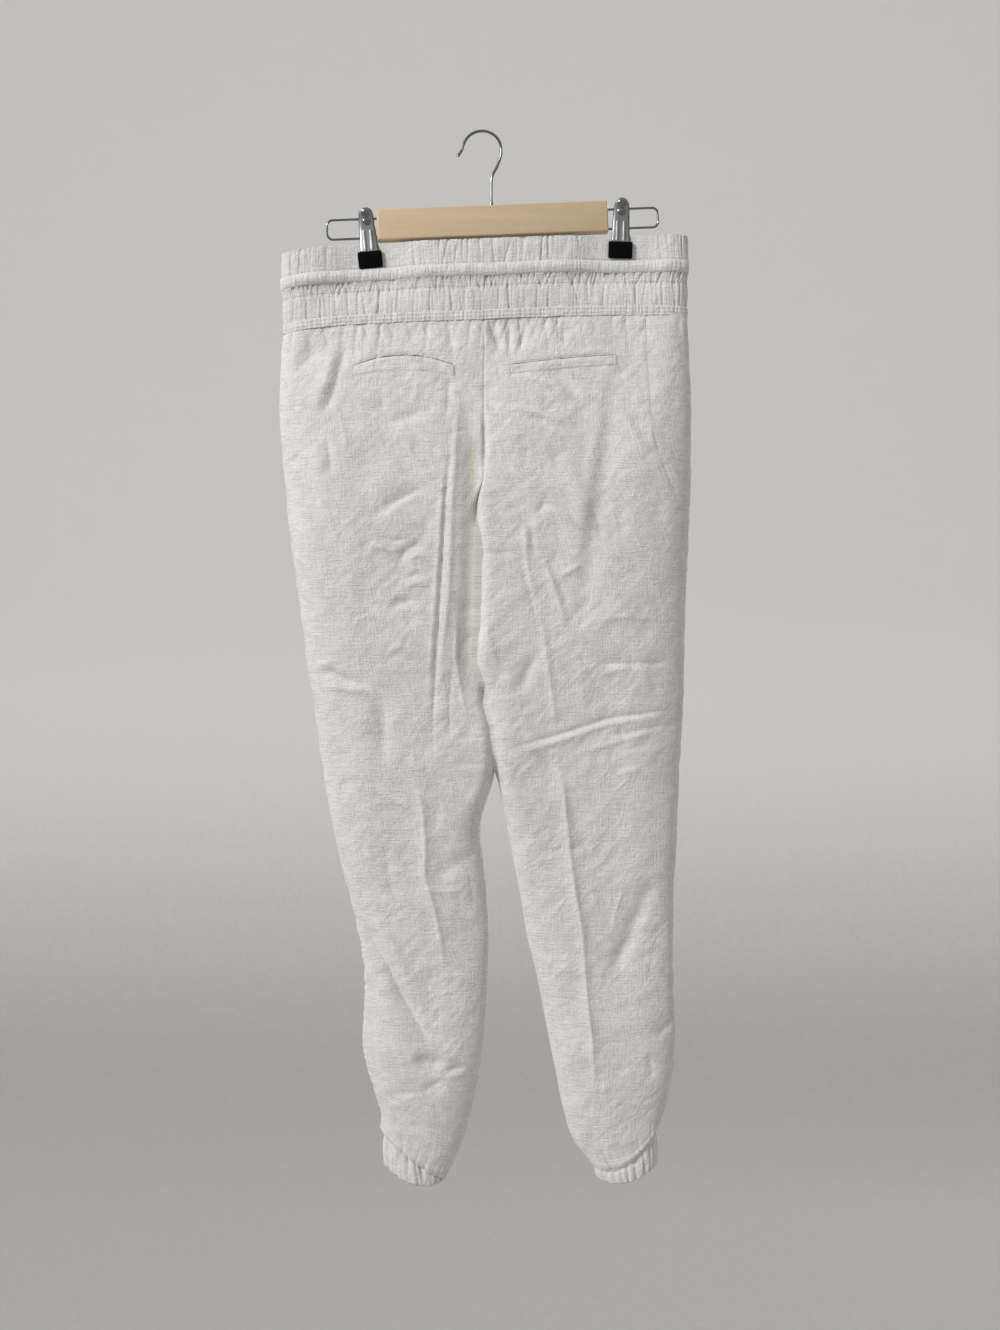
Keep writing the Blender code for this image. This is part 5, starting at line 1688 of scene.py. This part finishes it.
def tube(name, path, radii, finish, sides=20):
    """A round tube along points, its radius given at each, closed at both ends."""
    path = np.asarray(path, float)
    radii = np.broadcast_to(np.asarray(radii, float), len(path))
    tangents = np.gradient(path, axis=0)
    tangents /= np.linalg.norm(tangents, axis=1)[:, None]
    shape = bmesh.new()
    around = np.linspace(0, FULL_TURN, sides, endpoint=False)
    rings, side = [], np.array([0.0, 1.0, 0.0])
    for point, tangent, radius in zip(path, tangents, radii):
        side = side - tangent * (side @ tangent)
        side /= np.linalg.norm(side)
        up = np.cross(tangent, side)
        rings.append([
            shape.verts.new((point + radius * (math.cos(a) * side + math.sin(a) * up)) * MM)
            for a in around])
    bridge(shape, rings)
    return closed_ends(name, shape, rings, finish)


def bridge(shape, rings):
    """Joins rings of vertices with quads, each ring to the next."""
    for first, second in zip(rings, rings[1:]):
        for i in range(len(first)):
            j = (i + 1) % len(first)
            shape.faces.new((first[i], first[j], second[j], second[i]))


def closed_ends(name, shape, rings, finish):
    """Closes the first and the last ring and makes the shape an object."""
    for ring in (rings[0], rings[-1]):
        shape.faces.new(ring)
    bmesh.ops.recalc_face_normals(shape, faces=shape.faces)
    return from_bmesh(name, shape, finish)


def from_bmesh(name, shape, finish, sharp=40):
    mesh = bpy.data.meshes.new(name)
    shape.to_mesh(mesh)
    shape.free()
    mesh.shade_smooth()
    mesh.set_sharp_from_angle(angle=math.radians(sharp))
    mesh.materials.append(finish)
    return new_object(name, mesh)


def rounded_box(name, place, size, radius, finish, segments=4):
    """A box with rounded edges. place turns its own coordinates into the row's."""
    shape = bmesh.new()
    bmesh.ops.create_cube(shape, size=1.0)
    bmesh.ops.scale(shape, vec=Vector(size), verts=shape.verts)
    bmesh.ops.bevel(shape, geom=shape.edges[:], offset=radius, segments=segments, profile=0.5,
                    affect="EDGES")
    for vert in shape.verts:
        vert.co = Vector(place(*vert.co)) * MM
    bmesh.ops.recalc_face_normals(shape, faces=shape.faces)
    return from_bmesh(name, shape, finish, 30)


def dome(name, clip, down, surface, radius, height, slope, finish):
    """A domed rivet head on a front plate, with a thin rim."""
    rim = 0.4
    profile = [(radius, 0.0), (radius, 0.35), (radius * 0.93, 0.5)]
    for turn in np.linspace(0.25, 1.45, 7):
        profile.append((radius * 0.9 * math.cos(turn), rim + (height - rim) * math.sin(turn)))
    shape = bmesh.new()
    rings = []
    for ring, lift in profile:
        points = []
        for turn in np.linspace(0, FULL_TURN, 36, endpoint=False):
            at = down + ring * math.sin(turn)
            out = surface + lift + (down - at) * math.tan(slope)
            points.append(shape.verts.new(
                Vector(clip_place(clip, ring * math.cos(turn), at, -out)) * MM))
        rings.append(points)
    bridge(shape, rings)
    return closed_ends(name, shape, rings, finish)


class TROUSERS_OT_bar(Operator):
    """Builds the wooden bar."""

    bl_idname = "trousers.bar"
    bl_label = "Wooden Bar"

    def execute(self, context):
        edge = context.scene.clip_hanger.bar_edge / MM
        obj = rounded_box("wooden_bar", lambda x, y, z: along_bar(x, z, y),
                          (BAR_LENGTH, BAR_THICKNESS, BAR_HEIGHT), edge, beech())
        finished(obj, "hanger_bar", slot="wood")
        return {"FINISHED"}


class TROUSERS_OT_hook(Operator):
    """Builds the wire hook with its ferrule."""

    bl_idname = "trousers.hook"
    bl_label = "Hook"

    def execute(self, context):
        foot = along_bar(0, BAR_HEIGHT / 2 - PIN_DEPTH)
        centre = HOOK_WIRE / 2 - HOOK_RADIUS
        route = [(STEM_X, 0, foot[2]), *HOOK_STEM]
        for degrees in range(-8, 166, 14):
            angle = math.radians(degrees)
            route.append((HOOK_RADIUS * math.cos(angle), 0, centre + HOOK_RADIUS * math.sin(angle)))
        route += HOOK_TIP
        path = smooth_path(route, 1.0)
        to_tip = np.linalg.norm(path - path[-1], axis=1)
        radii = HOOK_WIRE / 2 * (1 + 0.28 * hump(to_tip, 2.2))
        radii[-1] *= 0.75
        obj = tube("hook_wire", path, radii, wire_steel())
        finished(obj, "hanger_hook", slot="chrome")
        top = along_bar(0, BAR_HEIGHT / 2)[2]
        collar = tube("hook_ferrule", [(STEM_X, 0, top + up) for up, _ in FERRULE],
                      [radius for _, radius in FERRULE], wire_steel(), 28)
        finished(collar, slot="chrome")
        return {"FINISHED"}


class TROUSERS_OT_loops(Operator):
    """Builds the wire loop at each end of the bar."""

    bl_idname = "trousers.loops"
    bl_label = "Wire Loops"

    def execute(self, context):
        for name, end in (("loop_left", -1), ("loop_right", 1)):
            legs_along = np.linspace(BAR_LENGTH / 2 - PIN_DEPTH, LOOP_REACH - LOOP_CORNER - 1, 30)
            flat = [(at, LOOP_TOP) for at in legs_along]
            for corner, first in ((LOOP_TOP - LOOP_CORNER, 90), (LOOP_BOTTOM + LOOP_CORNER, 0)):
                for degrees in np.linspace(first, first - 90, 13):
                    angle = math.radians(degrees)
                    flat.append((LOOP_REACH - LOOP_CORNER + LOOP_CORNER * math.cos(angle),
                                 corner + LOOP_CORNER * math.sin(angle)))
            flat += [(at, LOOP_BOTTOM) for at in legs_along[::-1]]
            path = [along_bar(end * along, up) for along, up in flat]
            obj = tube(f"{name}_wire", path, LOOP_WIRE / 2, wire_steel(), 16)
            finished(obj, name, slot="chrome")
        return {"FINISHED"}


class TROUSERS_OT_clips(Operator):
    """Builds both clips: ribbed plates, rivet heads, sleeves and rubber pads."""

    bl_idname = "trousers.clips"
    bl_label = "Clips"

    def execute(self, context):
        rubber = pad_rubber()
        for clip in CLIPS:
            name = clip[0]
            middle = CLAMPED_HALF_DEPTH + SEAM_GAP + PAD_THICKNESS / 2
            for face, side in (("front", -1), ("back", 1)):
                plate = self.plate(f"{name}_{face}_steel", clip, side, context)
                finished(plate, f"{name}_{face}_plate", slot="chrome")
                pad = rounded_box(
                    f"{name}_{face}_pad_rubber",
                    lambda x, y, z: clip_place(clip, x, PAD_TOP + PAD_HEIGHT / 2 - z,
                                               side * middle + y),
                    (PAD_WIDTH, PAD_THICKNESS, PAD_HEIGHT), 1.5, rubber)
                finished(pad, f"{name}_{face}_pad", slot="pad_rubber")
            self.sleeve(name, clip)
            self.rivets(name, clip)
        return {"FINISHED"}

    def plate(self, name, clip, side, context):
        """A pressed plate with two steep ribs on its lower half and edges that turn in."""
        rib_height = context.scene.clip_hanger.rib_height / MM
        rows = np.array(PLATE_ROWS)
        downs = np.concatenate([np.linspace(0, 6, 9), np.linspace(7, PLATE_ROWS[-1][0], 64)])
        half = np.interp(downs, rows[:, 0], rows[:, 1])[:, None]
        centre = smooth_through(rows[:, 0], rows[:, 2], downs)[:, None]
        t = np.linspace(-1, 1, 61)[None, :]
        across = half * t
        curl = 1.2 * np.abs(t) ** 6 * (downs[:, None] < 45)
        from_end = np.maximum(RIB_TOP - downs[:, None], 0)
        away = np.hypot(np.abs(across) - RIB_OFFSET, from_end)
        ribs = rib_height * hump(away, RIB_HALF_WIDTH, 6) * (1 - fade(downs, 43, 46))[:, None]
        y = side * (centre + PLATE_WALL / 2 - curl + ribs)
        down = np.broadcast_to(downs[:, None], across.shape)
        points = np.stack(clip_place(clip, across, down, y), -1)
        return self.solid(name, points, side)

    def solid(self, name, points, side):
        rows, columns = points.shape[:2]
        shape = bmesh.new()
        verts = [[shape.verts.new(Vector(p) * MM) for p in row] for row in points]
        for r in range(rows - 1):
            for c in range(columns - 1):
                corners = [verts[r][c], verts[r][c + 1], verts[r + 1][c + 1], verts[r + 1][c]]
                shape.faces.new(corners)
        shape.normal_update()
        if sum(face.normal.y for face in shape.faces) * side < 0:
            bmesh.ops.reverse_faces(shape, faces=shape.faces)
        return thickened(from_bmesh(name, shape, chrome(), 60), PLATE_WALL)

    def sleeve(self, name, clip):
        """A folded strip round both legs of the loop, which the clip slides on."""
        along = (clip_place(clip, 0, SLEEVE_DOWN, 0)[0] - BAR_CENTRE[0]) / math.cos(BAR_TILT)
        middle = (LOOP_TOP + LOOP_BOTTOM) / 2
        half_height = (LOOP_TOP - LOOP_BOTTOM + LOOP_WIRE) / 2 + SLEEVE_ROOM
        half_depth, corner = LOOP_WIRE / 2 + SLEEVE_ROOM, SLEEVE_CORNER
        outline = []
        for cx, cz, first in ((1, 1, 0), (-1, 1, 90), (-1, -1, 180), (1, -1, 270)):
            for degrees in np.linspace(first, first + 90, 7):
                angle = math.radians(degrees)
                outline.append((cx * (half_depth - corner) + corner * math.cos(angle),
                                cz * (half_height - corner) + corner * math.sin(angle)))
        shape = bmesh.new()
        bridge(shape, [
            [shape.verts.new(Vector(along_bar(along + end, middle + up, y)) * MM)
             for y, up in outline]
            for end in (-0.5 * SLEEVE_WIDTH, 0.5 * SLEEVE_WIDTH)])
        bmesh.ops.recalc_face_normals(shape, faces=shape.faces)
        centre = Vector(along_bar(along, middle)) * MM
        face = shape.faces[0]
        if face.normal.dot(face.calc_center_median() - centre) < 0:
            bmesh.ops.reverse_faces(shape, faces=shape.faces)
        strip = from_bmesh(f"{name}_sleeve_steel", shape, chrome(), 50)
        finished(thickened(strip, SLEEVE_WALL), f"{name}_sleeve", slot="chrome")

    def rivets(self, name, clip):
        downs, _, centres = zip(*PLATE_ROWS)
        slope = math.atan2(centres[0] - centres[3], downs[3])
        for label, sizes, lean, nodes in (("upper", UPPER_RIVET, slope, [f"{name}_rivet"]),
                                          ("lower", LOWER_RIVET, 0.0, [])):
            down, radius, height = sizes
            surface = np.interp(down, downs, centres) + PLATE_WALL / 2
            obj = dome(f"{name}_{label}_rivet", clip, down, surface, radius, height, lean,
                       wire_steel())
            finished(obj, *nodes, slot="chrome")


# ---------------------------------------------------------------- stage


# How bright the room is at these heights, 0 straight below and 1 straight above
ROOM_LIGHT = ((0.2, 0.8), (0.52, 1.0), (0.8, 1.3))
# Metres from here on. The far lights' directions and how wide they look, and the near lamp
KEY_FROM, BACK_FROM, FAR_SPREAD = (-0.72, -0.56, 0.48), (0.45, 0.8, 0.42), 0.25
LAMP_PLACE, LAMP_TARGET, LAMP_WIDTH = (-1.68, -1.30, 0.87), (0, 0, -0.35), 0.6
# The floor's level, where its curve starts, the curve's radius, and how far the sweep reaches
FLOOR_LEVEL, CURVE_START, CURVE_RADIUS = -1.95, 2.0, 1.6
SWEEP_REACH, SWEEP_TOP = 60.0, 30.0
# Between these levels the sweep's paper goes from dark to light. The darkening is painted shade,
# as if less light reached the lower paper
PAPER_SHADE_FULL_BELOW, PAPER_SHADE_GONE_FROM, PAPER_SHADE_DARKEST = -2.2, -0.4, 0.42


class TROUSERS_OT_stage(Operator):
    """Builds the floor with its sweep, the lights and the camera."""

    bl_idname = "trousers.stage"
    bl_label = "Stage"

    def execute(self, context):
        stage = context.scene.trousers_stage
        self.sweep(stage)
        self.world(context, stage)
        self.light("key_light", KEY_FROM, stage.key_strength)
        self.light("back_light", BACK_FROM, stage.fill_strength)
        self.lamp(stage.near_power)
        context.scene.view_settings.view_transform = "Standard"
        camera = bpy.data.cameras.new("camera")
        camera.lens, camera.sensor_width = stage.lens, 36.0
        obj = new_object("camera", camera)
        obj.location = (stage.camera_x, -stage.camera_distance, stage.camera_z)
        obj.rotation_euler = (math.pi / 2, 0, 0)
        context.scene.camera = obj
        return {"FINISHED"}

    def sweep(self, stage):
        """A pale floor that curves up into a backdrop, painted darker towards the bottom as shade.
        """
        profile = [(-SWEEP_REACH, 0.0), (CURVE_START, 0.0)]
        for degrees in range(6, 91, 6):
            angle = math.radians(degrees)
            profile.append((CURVE_START + CURVE_RADIUS * math.sin(angle),
                            CURVE_RADIUS * (1 - math.cos(angle))))
        profile.append((CURVE_START + CURVE_RADIUS, SWEEP_TOP))
        points = [(x, y, FLOOR_LEVEL + z) for y, z in profile
                  for x in (-SWEEP_REACH, SWEEP_REACH)]
        faces = [(2 * i, 2 * i + 1, 2 * i + 3, 2 * i + 2) for i in range(len(profile) - 1)]
        mesh = bpy.data.meshes.new("studio_sweep")
        mesh.from_pydata(points, [], faces)
        mesh.shade_smooth()
        graph = Graph(bpy.data.materials.new("Pale studio paper"))
        place = graph.place()
        grain = graph.noise(place, 60.0, 3.0)
        level = graph.node("ShaderNodeSeparateXYZ", {}, {0: place}, 2)
        # Painted shade: the paper's colour darkens towards the floor
        height = graph.node("ShaderNodeMapRange", {"interpolation_type": "SMOOTHSTEP"}, {
            0: level + grain * 0.2, 1: PAPER_SHADE_FULL_BELOW, 2: PAPER_SHADE_GONE_FROM})
        paper = graph.mix(height, colour(stage.floor_colour, PAPER_SHADE_DARKEST),
                          colour(stage.floor_colour))
        mesh.materials.append(graph.finish(Base_Color=paper, Roughness=0.9))
        obj = new_object("studio_sweep", mesh)
        obj.visible_shadow = False

    def world(self, context, stage):
        """An even light from all round, brighter from above."""
        graph = Graph(bpy.data.worlds.new("soft room"), "Background")
        place = graph.node("ShaderNodeTexCoord", {}, {}, "Generated")
        level = graph.node("ShaderNodeSeparateXYZ", {}, {0: place}, "Z")
        height = graph.node("ShaderNodeMapRange", {}, {"Value": level, "From Min": -1.0})
        bands = graph.node("ShaderNodeValToRGB", {"stops": [
            (at, (bright, bright * 0.995, bright * 0.98, 1)) for at, bright in ROOM_LIGHT]},
            {0: height})
        context.scene.world = graph.finish(Color=bands, Strength=stage.air)

    def light(self, name, towards, strength):
        """A far, wide light that comes from this direction."""
        data = bpy.data.lights.new(name, "SUN")
        data.energy, data.angle = strength, FAR_SPREAD
        obj = new_object(name, data)
        obj.location = towards
        obj.rotation_euler = Vector(towards).to_track_quat("Z", "Y").to_euler()

    def lamp(self, power):
        """A round soft lamp that shines at the seat."""
        data = bpy.data.lights.new("near_light", "AREA")
        data.shape, data.size, data.energy = "DISK", LAMP_WIDTH, power
        obj = new_object("near_light", data)
        obj.location = LAMP_PLACE
        towards = obj.location - Vector(LAMP_TARGET)
        obj.rotation_euler = towards.to_track_quat("Z", "Y").to_euler()
        obj.visible_camera = False


# ---------------------------------------------------------------- add-on


class TROUSERS_PT_sidebar(Panel):
    bl_idname = "TROUSERS_PT_sidebar"
    bl_label = "Linen Trousers"
    bl_space_type = "VIEW_3D"
    bl_region_type = "UI"
    bl_category = "Trousers"

    def draw(self, context):
        for settings in (context.scene.linen_cloth, context.scene.sewing,
                         context.scene.clip_hanger, context.scene.trousers_stage):
            box = self.layout.box()
            for name in settings.bl_rna.properties.keys():
                if name not in {"rna_type", "name"}:
                    box.prop(settings, name)
        for operator in OPERATORS:
            self.layout.operator(operator.bl_idname)


SETTINGS = (
    ("linen_cloth", ClothSettings), ("sewing", SewingSettings),
    ("clip_hanger", HangerSettings), ("trousers_stage", StageSettings),
)
OPERATORS = (
    TROUSERS_OT_waistband, TROUSERS_OT_tunnel, TROUSERS_OT_seam_band, TROUSERS_OT_legs,
    TROUSERS_OT_welts, TROUSERS_OT_cuffs, TROUSERS_OT_stitching, TROUSERS_OT_bar,
    TROUSERS_OT_hook, TROUSERS_OT_loops, TROUSERS_OT_clips, TROUSERS_OT_stage,
)


def register():
    for name, settings in SETTINGS:
        bpy.utils.register_class(settings)
        setattr(bpy.types.Scene, name, PointerProperty(type=settings))
    for made in (*OPERATORS, TROUSERS_PT_sidebar):
        bpy.utils.register_class(made)


def unregister():
    for made in reversed((*OPERATORS, TROUSERS_PT_sidebar)):
        bpy.utils.unregister_class(made)
    for name, settings in reversed(SETTINGS):
        delattr(bpy.types.Scene, name)
        bpy.utils.unregister_class(settings)


def main():
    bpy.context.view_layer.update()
    register()
    for operator in OPERATORS:
        group, name = operator.bl_idname.split(".")
        getattr(getattr(bpy.ops, group), name)()
    bpy.context.view_layer.update()


if __name__ == "__main__":
    main()
